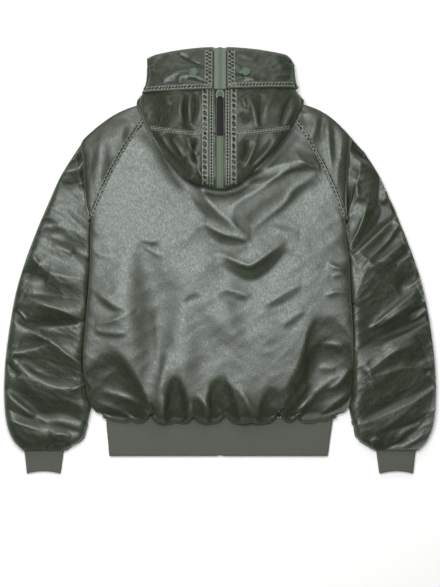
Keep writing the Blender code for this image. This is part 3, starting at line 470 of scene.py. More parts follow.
LEFT_ARM_CREASES = list(starmap(Crease, [
    ((-296, 180, -284, 188, -268, 194, -254, 192), -5.8, 11, 8),
    ((-300, 170, -282, 172, -262, 178), 2.6, 5, 6),
    ((-312, 156, -290, 149, -272, 152, -252, 164), -6.9, 13, 8),
    ((-268, 146, -260, 143, -250, 144), -3.0, 5, 4, 1.3),
    ((-354, 72, -334, 76, -306, 68), -3.6, 6, 8, 1.5, 1.3),
    ((-358, 57, -330, 58, -290, 50), -4.2, 8, 9, 1.5, 1.3),
    ((-330, 46, -292, 35, -262, 26, -230, 14), -5.2, 16, 10, 1.5, 0.9),
    ((-316, 32, -286, 18, -250, 4), 2.6, 7, 7), ((-282, 18, -262, 10, -242, 0), -4.6, 11, 8, 1.5),
    ((-362, 18, -348, 0, -340, -14), 4.7, 8, 15), ((-386, -14, -356, -29, -326, -36), -6.9, 19, 9),
    ((-344, -8, -318, -24, -280, -32, -246, -38), 6.5, 16, 42, 1.3),
    ((-404, -62, -368, -64, -312, -69, -250, -80), -8.6, 35, 11, 1.3),
    ((-370, -66, -334, -82, -304, -92, -260, -112), 6.5, 14, 13, 1.2),
    ((-402, -86, -382, -102, -364, -121, -322, -121, -286, -119, -252, -113), -12.6, 19, 13, 1.3),
    ((-386, -92, -374, -104, -366, -116), 3.0, 3, 3, 1.3),
    ((-354, -124, -318, -126, -290, -124, -256, -120), 3.0, 5, 6),
    ((-340, -132, -306, -138, -256, -154), -6.3, 14, 8),
    ((-408, -106, -357, -134, -316, -155, -290, -176, -254, -202), 7.2, 12, 17, 1.2),
    ((-412, -166, -367, -160, -322, -152), -5.8, 29, 8), ((-412, -178, -366, -170, -326, -160), 3.0, 7, 10),
    ((-394, -182, -366, -196, -341, -214, -303, -223, -248, -229), -9.2, 38, 10, 1.3),
    ((-413, -176, -396, -204, -382, -220), -5.2, 10, 8),
    ((-382, -196, -346, -222, -306, -240, -262, -238), 5.2, 12, 19),
    ((-284, -246, -268, -238, -248, -232), 2.6, 5, 5, 1.3),
    ((-412, -232, -388, -254, -357, -280, -334, -292, -304, -290, -276, -298, -244, -316), -9.2, 32, 10,
     1.3),
    ((-410, -246, -384, -268, -352, -294), 3.2, 7, 7),
    ((-408, -276, -372, -297, -334, -310, -296, -318, -252, -330), -5.8, 13, 9),
    ((-406, -300, -374, -310, -340, -322), 2.2, 6, 6, 1.5),
    ((-334, -356, -316, -346, -304, -338), -4.1, 8, 6, 1.3),
    ((-322, -334, -304, -328, -284, -334), 3.0, 6, 6), ((-306, -340, -292, -346, -280, -352), -2.4, 4, 4)]))
RIGHT_ARM_CREASES = list(starmap(Crease, [
    ((240, 202, 260, 206, 276, 198, 292, 186), -7.7, 18, 10), ((240, 190, 262, 192, 286, 180), 3.6, 6, 13),
    ((240, 166, 252, 152, 250, 120, 246, 80, 246, 40), -6.5, 18, 14, 1.5),
    ((258, 160, 260, 136, 264, 112), 3.4, 7, 11, 1.6), ((260, 118, 270, 114, 282, 114), -2.8, 3, 4, 1.3),
    ((281, 112, 274, 86, 262, 56, 244, 22), 6.2, 28, 6, 1.3),
    ((306, 112, 314, 120, 320, 128), 3.4, 6, 8, 1.5),
    ((344, 106, 312, 80, 286, 56, 248, 12), -9.6, 10, 30, 1.3), ((332, 96, 316, 84, 306, 72), 2.0, 3, 3),
    ((345, 92, 309, 60, 276, 30, 244, 3), 6.9, 24, 6, 1.2),
    ((345, 80, 322, 42, 288, 8, 270, -18), 6.2, 28, 6, 1.2), ((348, 62, 320, 26, 290, -6), -7.1, 10, 26),
    ((360, 40, 326, 16, 284, -14), 5.5, 24, 8, 1.3), ((364, 24, 348, 6, 330, -4), -4.6, 7, 14),
    ((372, 16, 352, 4, 336, -8), 2.4, 5, 5), ((384, -20, 362, -40, 336, -56), -5.7, 9, 20),
    ((388, -30, 368, -44, 348, -52), 2.8, 5, 6), ((290, 2, 276, -24, 262, -56, 250, -80), 5.3, 43, 14, 1.6),
    ((376, -56, 332, -90, 284, -130), 6.4, 35, 5, 1.3), ((378, -70, 334, -102, 298, -126), 5.3, 18, 9, 1.3),
    ((394, -84, 372, -96, 356, -104), -3.4, 5, 7), ((396, -92, 376, -108, 362, -114), 2.4, 4, 5),
    ((406, -104, 357, -129, 321, -142, 286, -157, 246, -176), -14.1, 11, 48, 1.25),
    ((398, -118, 356, -138, 304, -160), 6.2, 20, 8, 1.3),
    ((378, -152, 328, -174, 296, -198, 276, -214), 6.7, 28, 12, 1.3),
    ((412, -174, 376, -194, 346, -196, 314, -208, 286, -216), -7.1, 20, 20),
    ((412, -184, 375, -201, 344, -202, 311, -214, 280, -226), 6.2, 20, 16, 1.3),
    ((412, -212, 400, -210, 388, -214), -2.6, 5, 5),
    ((412, -232, 372, -258, 326, -276, 282, -296, 252, -312), -9.0, 26, 24, 1.3),
    ((412, -242, 375, -264, 332, -284, 286, -304, 256, -318), 6.7, 24, 15, 1.3),
    ((396, -300, 350, -316, 300, -330), -2.6, 9, 8, 1.6), ((284, -346, 298, -338, 306, -342), 3.4, 5, 7),
    ((318, -350, 340, -348, 362, -340), -2.0, 5, 5)]))
HOOD_CREASES = [
    Fall((-106, 332, -108, 290, -102, 244), 62, 9, 22, 0.0, 0.5, True),
    Fall((-96, 242, -78, 204, -50, 160), 40, 10, 16, 0.0, 0.5, True),
    Fall((100, 240, 78, 204, 48, 162), 40, 6, 16, 0.0, 0.5, True),
    *starmap(Crease, [
        ((-62, 314, -66, 286, -62, 252, -50, 240), -4.6, 6, 6), ((-70, 312, -74, 284, -70, 256), 2.8, 4, 5),
        ((-56, 314, -58, 286, -56, 258), 3.0, 4, 4, 1.3), ((-46, 316, -44, 286, -52, 254), -3.4, 4, 4),
        ((-100, 312, -98, 300, -96, 290), 1.8, 6, 6, 1.6),
        ((50, 312, 62, 288, 68, 262, 72, 246), 3.6, 5, 7, 1.3), ((40, 306, 46, 294, 50, 286), 2.6, 4, 4),
        ((78, 312, 76, 284, 74, 252), -2.4, 6, 5, 1.5), ((42, 280, 48, 268, 56, 262), -2.2, 5, 6, 1.5),
        ((138, 318, 122, 284, 114, 252), -2.8, 6, 6), ((146, 306, 132, 272, 118, 244), 2.0, 6, 7, 1.5),
        ((-116, 244, -100, 216, -72, 186), 2.2, 6, 6, 1.5), ((-90, 230, -76, 208, -66, 192), 2.6, 4, 5),
        ((-60, 232, -56, 214, -44, 196), 3.2, 4, 5, 1.3), ((-44, 232, -50, 200, -40, 166), -4.2, 4, 6),
        ((-48, 186, -36, 162, -26, 150), 2.6, 4, 4), ((52, 226, 48, 206, 42, 186), -2.6, 4, 5, 1.5),
        ((70, 226, 60, 202, 46, 172), 2.2, 5, 5, 1.5), ((100, 228, 80, 204, 56, 176), -2.4, 5, 5, 1.5),
        ((118, 238, 96, 212, 70, 184), 1.8, 5, 6, 1.5)])]
BRIM_CREASES = list(starmap(Crease, [
    ((-92, 402, -72, 386, -50, 374, -28, 364), -4.4, 4, 5, 1.3),
    ((-86, 396, -66, 380, -42, 368), 2.6, 4, 5),
    ((-110, 340, -88, 352, -66, 358, -44, 356), 3.2, 6, 7, 1.3),
    ((-78, 334, -74, 346, -56, 348, -34, 344), 2.6, 4, 4, 1.3),
    ((-62, 342, -44, 340, -24, 334), -2.6, 4, 4), ((-118, 328, -90, 336, -70, 332), -1.6, 5, 5, 1.5),
    ((34, 346, 50, 344, 66, 338, 72, 330), 3.0, 4, 5, 1.3), ((28, 352, 40, 350, 44, 340), -2.6, 4, 4),
    ((26, 370, 36, 362, 40, 352), 2.0, 3, 4), ((54, 334, 80, 342, 110, 336), -1.6, 5, 5, 1.5),
    ((30, 384, 44, 388, 70, 378), 1.6, 5, 6, 1.6), ((-126, 362, -112, 382, -98, 392), -2.0, 7, 7, 1.6),
    ((96, 388, 112, 368, 126, 346), 1.6, 8, 8, 1.7)]))


# ---- forms
def arch(share: Array, fullness: float) -> Array:
    """Height of a flattened tube's upper face: 1 in its middle, 0 at its edges."""
    return np.sqrt(np.clip(1 - np.abs(share) ** fullness, 0, None))


def across(table: Sizes, x: Array, y: Array) -> Array:
    """How far x lies from the middle of an outline at y: -1 and 1 are its left and right edge."""
    left, right = table.at(y, "left"), table.at(y, "right")
    return np.clip((2 * x - left - right) / (right - left), -1, 1)


def outline(table: Sizes, y: Array | float, side: Side) -> Array:
    """The left or right edge of a table at y."""
    return table.at(y, side.word)


def torso_height(x: Array, y: Array, creases: list[Crease | Fall]) -> Array:
    """Height of the coat's back, and of the sleeves as far as the fold that the arms hang from.

    Args:
        x: places across the coat.
        y: places along it.
        creases: the creases that are added to the puffs over the rib.

    Returns:
        The height at each place.
    """
    share = across(TORSO, x, y)
    crown = TORSO.at(y, "crown")
    edge = np.maximum(TORSO.at(y, "edge"), crown - 0.0042)
    folds = relief(creases, x, y) * (1 - np.abs(share) ** 24)
    height = edge + (crown - edge) * arch(share, 22.0) + folds + relief(PUFFS, x, y)
    return np.maximum(height, SPLIT + 0.0026)


def underside_lift(creases: list[Crease | Fall], x: Array, y: Array) -> Array:
    """How far the lower layer lifts off the surface, along the creases that run through both layers."""
    return UNDER_LIMIT * np.tanh(np.clip(-UNDER_SHARE * relief(creases, x, y), 0, None) / UNDER_LIMIT)


def turned_up(bend: Array) -> Array:
    """How far the lower layer's edge rises as it turns up to the split, where bend runs from 0 to 1."""
    return (SPLIT - 2 * FLOOR_GAP) * (1 - np.sqrt(1 - np.clip(bend, 0, 1) ** 2))


def hood_bed(x: Array, y: Array) -> Array:
    """Height of what the hood's upper layer rests on."""
    return HOOD.at(y, "bed") - HOOD.at(y, "droop") * across(HOOD, x, y) ** 4


def hood_height(x: Array, y: Array) -> Array:
    """Height of the hood's upper face, without its creases."""
    edge = HOOD.at(y, "bed") - HOOD.at(y, "droop") + 0.0060
    return edge + (HOOD.at(y, "crown") - edge) * arch(across(HOOD, x, y), 3.0)


def raglan(share: Array | float, side: Side) -> Array:
    """Draws the seam between torso and sleeve.

    Args:
        share: places along it, from the neck (0) to the underarm (1).
        side: the wearer's side.

    Returns:
        A plan point for each place.
    """
    top = np.array([side.value * RAGLAN_TOP[0], RAGLAN_TOP[1]])
    end = np.array([outline(TORSO, UNDERARM_Y, side), UNDERARM_Y])
    along = (end - top) / np.linalg.norm(end - top)
    outwards = np.array([-along[1], along[0]]) * side.value
    share = np.asarray(share)[..., None]
    return top * (1 - share) + end * share + outwards * RAGLAN_BOW * np.sin(pi * share)


def crowd(count: int, strength: float = 0.9) -> Array:
    """Shares from 0 to 1 that lie closer together near both ends."""
    place = (np.linspace(0, 1, count) - 0.5) * pi * strength
    return 0.5 + 0.5 * np.sin(place) / sin(pi / 2 * strength)


def crowd_end(count: int) -> Array:
    """Shares from 0 to 1 that lie closer together near 1."""
    return np.sin(np.linspace(0, pi / 2, count) * 0.92) / sin(pi / 2 * 0.92)


def between(start: Array, end: Array, share: Array) -> Array:
    """Plan points at shares of the way from one point to another."""
    return start * (1 - share)[:, None] + end * share[:, None]


def distances(path: Array) -> Array:
    """How far along a line each of its points lies."""
    return np.concatenate([[0], np.cumsum(np.linalg.norm(np.diff(path, axis=0), axis=1))])


def moved(points: Array, x: Array | float = 0.0, y: Array | float = 0.0, z: Array | float = 0.0) -> Array:
    """Points moved along the three axes."""
    return points + np.stack(np.broadcast_arrays(x, y, z), -1)


# ---- meshes
def rub(grid: Array, normals: Array, ring: bool) -> Array:
    """Finds how sharply a face bends: worn colour and painted highlight on crests, painted shade in dents.

    Args:
        grid: rows and columns of points.
        normals: the face's normal at each.
        ring: whether each row closes on itself.

    Returns:
        For each point up to 1 on a sharp crest, and down to -1 in a dent.
    """
    bend = np.zeros(grid.shape[:2])
    for axis, closed in ((0, False), (1, ring)):
        wide = np.concatenate([np.take(grid, [-1 if closed else 0], axis), grid,
                               np.take(grid, [0 if closed else -1], axis)], axis)
        steps = np.diff(wide, axis=axis)
        length = np.maximum(np.linalg.norm(steps, axis=-1, keepdims=True), 1e-5)
        before = np.arange(grid.shape[axis])
        turn = np.take(steps / length, before + 1, axis) - np.take(steps / length, before, axis)
        reach = (np.take(length, before + 1, axis) + np.take(length, before, axis))[..., 0] / 2
        bend -= (turn * normals).sum(-1) / np.maximum(reach, 0.5 * MM)
    for axis in (0, 1):
        bend = (np.roll(bend, 1, axis) + 2 * bend + np.roll(bend, -1, axis)) / 4
    return np.clip(bend / WEAR_AND_SHADE_BEND, -1, 1)


def link(name: str, data: bpy.types.ID) -> Piece:
    """Puts a mesh, a lamp or a camera into the scene as an object."""
    holder = bpy.data.objects.new(name, data)
    bpy.context.scene.collection.objects.link(holder)
    return holder


def new_piece(name: str, points: Array, faces: list[list[int]], material: Material) -> Piece:
    """Makes a smooth-shaded mesh object.

    Args:
        name: the piece's name.
        points: its vertices, one in each row.
        faces: its faces, as lists of vertex numbers.
        material: its finish.

    Returns:
        The object, in the scene.
    """
    mesh = bpy.data.meshes.new(name)
    mesh.from_pydata(np.asarray(points, float).tolist(), [], faces)
    mesh.validate()
    mesh.shade_smooth()
    mesh.materials.append(material)
    return link(name, mesh)


def quads(rows: int, columns: int, first: int = 0, flip: bool = False,
          ring: bool = False) -> list[list[int]]:
    """Lists the faces of a grid.

    Args:
        rows: its rows.
        columns: its columns.
        first: the number of its first vertex.
        flip: whether the faces turn the other way round.
        ring: whether each row closes on itself.

    Returns:
        Four vertex numbers for each face.
    """
    faces = []
    for i in range(rows - 1):
        for j in range(columns if ring else columns - 1):
            k = (j + 1) % columns
            face = [first + i * columns + j, first + i * columns + k,
                    first + (i + 1) * columns + k, first + (i + 1) * columns + j]
            faces.append(face[::-1] if flip else face)
    return faces


def grid_normals(grid: Array, ring: bool = False) -> Array:
    """Finds a grid's unit normals.

    Args:
        grid: rows and columns of points.
        ring: whether each row closes on itself.

    Returns:
        The normal at each point.
    """
    if ring:
        wide = np.concatenate([grid[:, -1:], grid, grid[:, :1]], axis=1)
        run = wide[:, 2:] - wide[:, :-2]
    else:
        run = np.gradient(grid, axis=1)
    normals = np.cross(run, np.gradient(grid, axis=0))
    length = np.linalg.norm(normals, axis=-1, keepdims=True)
    return normals / np.maximum(length, 1e-12)


def shell(name: str, grid: Array, material: Material, up: bool = True,
          thick: float = CLOTH, ring: bool = False) -> Piece:
    """Makes a thin closed shell of cloth, whose outer face is a grid.

    Args:
        name: the piece's name.
        grid: rows and columns of points.
        material: its finish.
        up: whether the outer face looks up, or in a ring away from its middle.
        thick: the cloth's thickness.
        ring: whether each row closes on itself.

    Returns:
        The object.
    """
    rows, columns = grid.shape[:2]
    normals = grid_normals(grid, ring)
    if ring:
        centre = grid.mean(axis=1, keepdims=True)
        turned = (normals * (grid - centre)).sum() < 0
    else:
        turned = (normals[..., 2].mean() < 0) == up
    if turned:
        normals = -normals
    inner = grid - normals * thick
    count = rows * columns
    points = np.concatenate([grid.reshape(-1, 3), inner.reshape(-1, 3)])
    faces = quads(rows, columns, 0, turned, ring) + quads(rows, columns, count, not turned, ring)
    if ring:
        loops = [list(range(columns))[::-1], list(range(count - columns, count))]
    else:
        border = (list(range(columns)) + [i * columns + columns - 1 for i in range(1, rows)]
                  + [(rows - 1) * columns + j for j in range(columns - 2, -1, -1)]
                  + [i * columns for i in range(rows - 2, 0, -1)])
        loops = [border[::-1]]
    for loop in loops:
        for a, b in zip(loop, loop[1:] + loop[:1]):
            face = [a, b, b + count, a + count]
            faces.append(face[::-1] if turned else face)
    piece = new_piece(name, points, faces, material)
    # each point's bend: the satin paints wear and painted highlight on crests, painted shade in dents
    wear_and_shade_value = piece.data.attributes.new("rub", "FLOAT", "POINT")
    wear_and_shade_value.data.foreach_set("value", np.tile(rub(grid, normals, ring).ravel(), 2))
    return piece


class Ground:
    """The finished upper faces of some pieces, onto which other pieces are laid."""

    def __init__(self, pieces: list[Piece]) -> None:
        """Gathers the pieces' faces.

        Args:
            pieces: the pieces.
        """
        points, faces = [], []
        for piece in pieces:
            first = len(points)
            points += [vertex.co.copy() for vertex in piece.data.vertices]
            faces += [[first + i for i in face.vertices] for face in piece.data.polygons]
        self.tree = BVHTree.FromPolygons(points, faces)

    def drop(self, plan: Array, lift: float = 0.0, default: float = 0.03) -> Array:
        """Lays plan points on the faces.

        Args:
            plan: X and Y of the points, in its last two numbers.
            lift: how far above the faces they come to lie.
            default: their height where nothing lies under them.

        Returns:
            The points with their heights.
        """
        flat = plan.reshape(-1, 2)
        made, last = np.empty((len(flat), 3)), default
        for i, (x, y) in enumerate(flat):
            hit = self.tree.ray_cast(Vector((x, y, 0.5)), Vector((0, 0, -1)))[0]
            last = hit.z if hit is not None else last
            made[i] = (x, y, last + lift)
        return made.reshape(*plan.shape[:-1], 3)


def offset_path(path: Array, off: float) -> Array:
    """Moves a plan line sideways.

    Args:
        path: its points.
        off: how far to its left.

    Returns:
        The moved points.
    """
    run = np.gradient(path, axis=0)
    run /= np.linalg.norm(run, axis=1, keepdims=True)
    return path + np.stack([-run[:, 1], run[:, 0]], -1) * off


def even_path(path: Array, step: float) -> Array:
    """Draws a plan line again with points at an even distance.

    Args:
        path: its points.
        step: rough distance between the new ones.

    Returns:
        The new points.
    """
    length = distances(path)
    places = np.linspace(0, length[-1], max(3, int(round(length[-1] / step)) + 1))
    return np.stack([np.interp(places, length, path[:, i]) for i in range(path.shape[1])], -1)


# ---- nodes and finishes
def linear(code: str) -> tuple[float, float, float, float]:
    """Turns an sRGB hex value into a linear colour."""
    parts = [int(code[i:i + 2], 16) / 255 for i in (1, 3, 5)]
    return tuple(p / 12.92 if p <= 0.04045 else ((p + 0.055) / 1.055) ** 2.4 for p in parts) + (1.0,)


def add_node(tree: Tree, kind: str, settings: dict | None = None, **links: Socket) -> Node:
    """Adds a node.

    Args:
        tree: the tree that it goes into.
        kind: the node type's own name.
        settings: values of its sockets, by name or number, or of its own properties.
        links: sockets to join to its inputs, by name with _ for a space, or in{number}.

    Returns:
        The node.
    """
    node = tree.nodes.new(kind)
    for key, value in (settings or {}).items():
        if isinstance(key, int) or key in node.inputs:
            node.inputs[key].default_value = value
        else:
            setattr(node, key, value)
    for key, source in links.items():
        socket = int(key[2:]) if key[:2] == "in" and key[2:].isdigit() else key.replace("_", " ")
        tree.links.new(source, node.inputs[socket])
    return node


def blank(name: str) -> tuple[Material, Tree, Node]:
    """Makes a material with a Principled shader and its output.

    Args:
        name: the material's name.

    Returns:
        The material, its tree and its shader.
    """
    material = bpy.data.materials.new(name)
    material.use_nodes = True
    return material, material.node_tree, material.node_tree.nodes["Principled BSDF"]


class Paint:
    """A new material, with short ways to add the nodes that the finishes share."""

    def __init__(self, name: str) -> None:
        """Starts the material."""
        self.material, self.tree, self.shader = blank(name)
        self.place = add_node(self.tree, "ShaderNodeTexCoord").outputs["Object"]

    def noise(self, size: float, detail: float, rough: float = 0.5, place: Socket | None = None) -> Socket:
        """A noise whose pattern has a size in metres."""
        return add_node(self.tree, "ShaderNodeTexNoise", {"Scale": 1 / size, "Detail": detail,
                        "Roughness": rough}, Vector=self.place if place is None else place).outputs[0]

    def leaning(self, degrees: float, scale: tuple[float, float, float]) -> Socket:
        """Places turned about Z and stretched."""
        return add_node(self.tree, "ShaderNodeMapping", {"Rotation": (0.0, 0.0, radians(degrees)),
                        "Scale": scale}, Vector=self.place).outputs[0]

    def times(self, value: Socket, factor: float, clamp: bool = False) -> Socket:
        """A value times a factor."""
        return add_node(self.tree, "ShaderNodeMath", {"operation": "MULTIPLY", "use_clamp": clamp,
                                                      1: factor}, in0=value).outputs[0]

    def plus(self, value: Socket, factor: float, other: Socket) -> Socket:
        """A value times a factor, plus another value."""
        return add_node(self.tree, "ShaderNodeMath", {"operation": "MULTIPLY_ADD", 1: factor}, in0=value,
                        in2=other).outputs[0]

    def span(self, value: Socket, start: float, end: float, low: float = 0.0, high: float = 1.0) -> Socket:
        """Spreads the values from start to end over those from low to high."""
        return add_node(self.tree, "ShaderNodeMapRange", {"From Min": start, "From Max": end, "To Min": low,
                                                          "To Max": high}, Value=value).outputs[0]

    def blend(self, share: Socket, first: str | Socket, second: str) -> Socket:
        """Blends two colours.

        Args:
            share: how much of the second one shows.
            first: a colour, or its sRGB hex value.
            second: the other one's sRGB hex value.

        Returns:
            The blended colour.
        """
        mix = add_node(self.tree, "ShaderNodeMix", {"data_type": "RGBA", 7: linear(second)}, Factor=share)
        if isinstance(first, str):
            mix.inputs[6].default_value = linear(first)
        else:
            self.tree.links.new(first, mix.inputs[6])
        return mix.outputs[2]

    def finish(self, height: Socket, strength: float, depth: float, values: dict[str, object]) -> Material:
        """Joins the shader's inputs.

        Args:
            height: the pattern of the surface's fine relief.
            strength: how much of that relief counts.
            depth: how deep it is, in metres.
            values: the other inputs by name, each a socket or a plain value.

        Returns:
            The material.
        """
        bump = add_node(self.tree, "ShaderNodeBump", {"Strength": strength, "Distance": depth},
                        Height=height)
        for name, value in {"Normal": bump.outputs[0], **values}.items():
            if isinstance(value, Socket):
                self.tree.links.new(value, self.shader.inputs[name])
            else:
                self.shader.inputs[name].default_value = value
        return self.material


@dataclass(frozen=True)
class SatinNylon:
    """Wadded flight satin, woven with its floats up and washed after it was sewn.

    The floats give a broad soft gloss, so that cloth that faces the light looks pale and cloth that
    turns away looks almost black green. Washing leaves the dye cloudy and the face slubby.
    """

    name: str
    deep: str = "#1a1f11"
    pale: str = "#2a301f"
    # sharp crests' colour: partly wear, partly painted highlight
    worn: str = "#5c6356"
    # painted shade in dents and creases
    dented: str = "#0d0f0a"
    # how strongly the crests and the dents are painted
    wear: float = 0.55
    roughness: float = 0.40
    gloss: float = 0.56
    slub: float = 2.0 * MM  # threads are 0.2 mm; drawn as slubs wide enough to show
    grain: float = 3.4 * MM
    cloud: float = 34 * MM
    mottle: float = 2.1 * MM
    relief: float = 0.165 * MM
    spread: float = 0.085  # how far the roughness strays

    def build(self) -> Material:
        """Makes the material.

        Returns:
            The material.
        """
        paint = Paint(self.name)
        clouds = paint.noise(self.cloud, 6.0, 0.62)
        slubs = paint.noise(self.slub, 2.0, 0.6, paint.leaning(18, (1.0, 0.32, 1.0)))
        grain = paint.noise(self.grain, 3.0)
        mottle = paint.noise(self.mottle, 3.0, 0.65, paint.leaning(-32, (0.30, 1.0, 1.0)))
        wear_and_shade_value = add_node(paint.tree, "ShaderNodeAttribute", {"attribute_name": "rub"}).outputs["Fac"]
        # crests painted toward the pale colour, wear and painted highlight; dents near black, painted shade
        crest = paint.times(wear_and_shade_value, self.wear, clamp=True)
        dent = paint.times(wear_and_shade_value, -1.8 * self.wear, clamp=True)
        dye = paint.blend(paint.span(paint.plus(slubs, 1.1, clouds), 0.80, 1.35), self.deep, self.pale)
        colour = paint.blend(dent, paint.blend(crest, dye, self.worn), self.dented)
        rough = paint.span(paint.plus(grain, 0.5, slubs), 0.5, 1.0, self.roughness - self.spread,
                           self.roughness + self.spread)
        return paint.finish(paint.plus(slubs, 0.60, mottle), 1.0, self.relief, {
            "Base Color": colour, "Roughness": paint.plus(dent, 0.5, rough), "IOR": 1.53,
            "Specular IOR Level": self.gloss, "Specular Tint": (0.93, 1.0, 0.975, 1.0)})


@dataclass(frozen=True)
class RibKnit:
    """Dyed acrylic and wool rib, knitted one by one: matt, with soft valleys between its ribs."""

    name: str
    deep: str = "#40433c"
    pale: str = "#575b52"
    stitch: float = 1.5 * MM
    fuzz: float = 1.4 * MM

    def build(self) -> Material:
        """Makes the material.

        Returns:
            The material.
        """
        paint = Paint(self.name)
        loops = add_node(paint.tree, "ShaderNodeTexWave", {"Scale": 0.314 / self.stitch, "Distortion": 2.5,
                         "Detail": 2.0, "Detail Scale": 3.0, "bands_direction": "Y"}, Vector=paint.place)
        # colour follows the ribs' relief: darker in their valleys, as painted shade, with a random fuzz
        tone = paint.plus(loops.outputs[1], 0.35, paint.noise(self.fuzz, 4.0))
        return paint.finish(tone, 0.5, 0.4 * MM, {
            "Base Color": paint.blend(paint.span(tone, 0.35, 0.95), self.deep, self.pale),
            "Roughness": 0.92, "Sheen Weight": 0.25, "Sheen Roughness": 0.5})


@dataclass(frozen=True)
class Plain:
    """Any small part's finish: a colour that strays to a second one, with a fine grain in its gloss.

    Its grain is the size of the surface's own pattern, and its depth how far that rises.
    """

    name: str
    colour: str
    second: str
    roughness: float
    metallic: float = 0.0
    grain: float = 0.6 * MM
    depth: float = 0.08 * MM
    coat: float = 0.0
    gloss: float = 0.5

    def build(self) -> Material:
        """Makes the material.

        Returns:
            The material.
        """
        paint = Paint(self.name)
        grain = paint.noise(self.grain, 4.0, 0.6)
        return paint.finish(grain, 0.4, self.depth, {
            "Base Color": paint.blend(paint.span(grain, 0.35, 0.70), self.colour, self.second),
            "Roughness": paint.span(grain, 0.0, 1.0, self.roughness - 0.05, self.roughness + 0.08),
            "Metallic": self.metallic, "IOR": 1.5, "Coat Weight": self.coat,
            "Specular IOR Level": self.gloss})


@dataclass
class Wardrobe:
    """Every finish on the coat."""

    satin: Material
    sleeve_satin: Material
    hood_satin: Material
    brim_satin: Material
    seam_satin: Material
    rib: Material
    tape: Material
    chain: Material
    slider: Material
    metal: Material
    leather: Material
    enamel: Material
    thread: Material

    @classmethod
    def build(cls) -> "Wardrobe":
        """Makes them.

        Returns:
            The finishes.
        """
        return cls(
            SatinNylon("washed_flight_satin").build(),
            # the sleeves' face is crushed by wear: a broader gloss and a livelier grain
            SatinNylon("washed_flight_satin_sleeve", roughness=0.43, gloss=0.57, relief=0.27 * MM).build(),
            # duller copies for hood and brim: painted shade for the hood sloping from the light, less on the
            # brim
            SatinNylon("washed_flight_satin_hood", deep="#22271c", pale="#343a2d", roughness=0.37,
                       gloss=0.22).build(),
            SatinNylon("washed_flight_satin_brim", deep="#23281f", pale="#353b2f", roughness=0.37,
                       gloss=0.36).build(),
            # puckered seams: palest crests, wear and painted highlight, and near black painted shade in
            # dents
            SatinNylon("washed_flight_satin_seam", deep="#1e2319", pale="#32382c", worn="#70766a", wear=0.75,
                       roughness=0.38, gloss=0.36).build(),
            RibKnit("acrylic_wool_rib_knit").build(),
            # knitted polyester tape: matt, paler than the shell because it took less dye
            Plain("knitted_polyester_zip_tape", "#566153", "#687264", 0.78, grain=0.8 * MM).build(),
            # moulded and painted chain: a dull gloss
            Plain("painted_zip_chain", "#4c5847", "#5e6958", 0.62, grain=1.2 * MM, depth=0.05 * MM,
                  gloss=0.3).build(),
            # the same paint on the cast slider and its wire, rubbed paler by handling
            Plain("painted_slider_casting", "#74806f", "#8f9b89", 0.45, grain=1.5 * MM,
                  depth=0.04 * MM).build(),
            # cast zinc with a dark plating, worn pale where it is handled
            Plain("plated_zinc_casting", "#4b514a", "#6d746b", 0.34, metallic=1.0, grain=2.0 * MM).build(),
            # finished full-grain calf: black, with a fine pebble and a soft gloss
            Plain("black_calf_leather", "#121213", "#1c1c1e", 0.50, grain=0.7 * MM, depth=0.12 * MM,
                  gloss=0.09).build(),
            # sprayed and baked enamel on a steel cap: smooth, with a clear skin
            Plain("baked_green_enamel", "#3c523d", "#475d48", 0.34, grain=3.0 * MM, depth=0.02 * MM,
                  coat=0.12, gloss=0.25).build(),
            # bonded nylon thread: a little paler than the cloth
            Plain("bonded_nylon_thread", "#3c4236", "#50564a", 0.5, grain=0.5 * MM).build())


# ---- the body
@dataclass
class Notch:
    """Where the rib's seam pinches the gathered back: its place, rise and half width, in millimetres."""

    x: float
    rise: float
    half: float


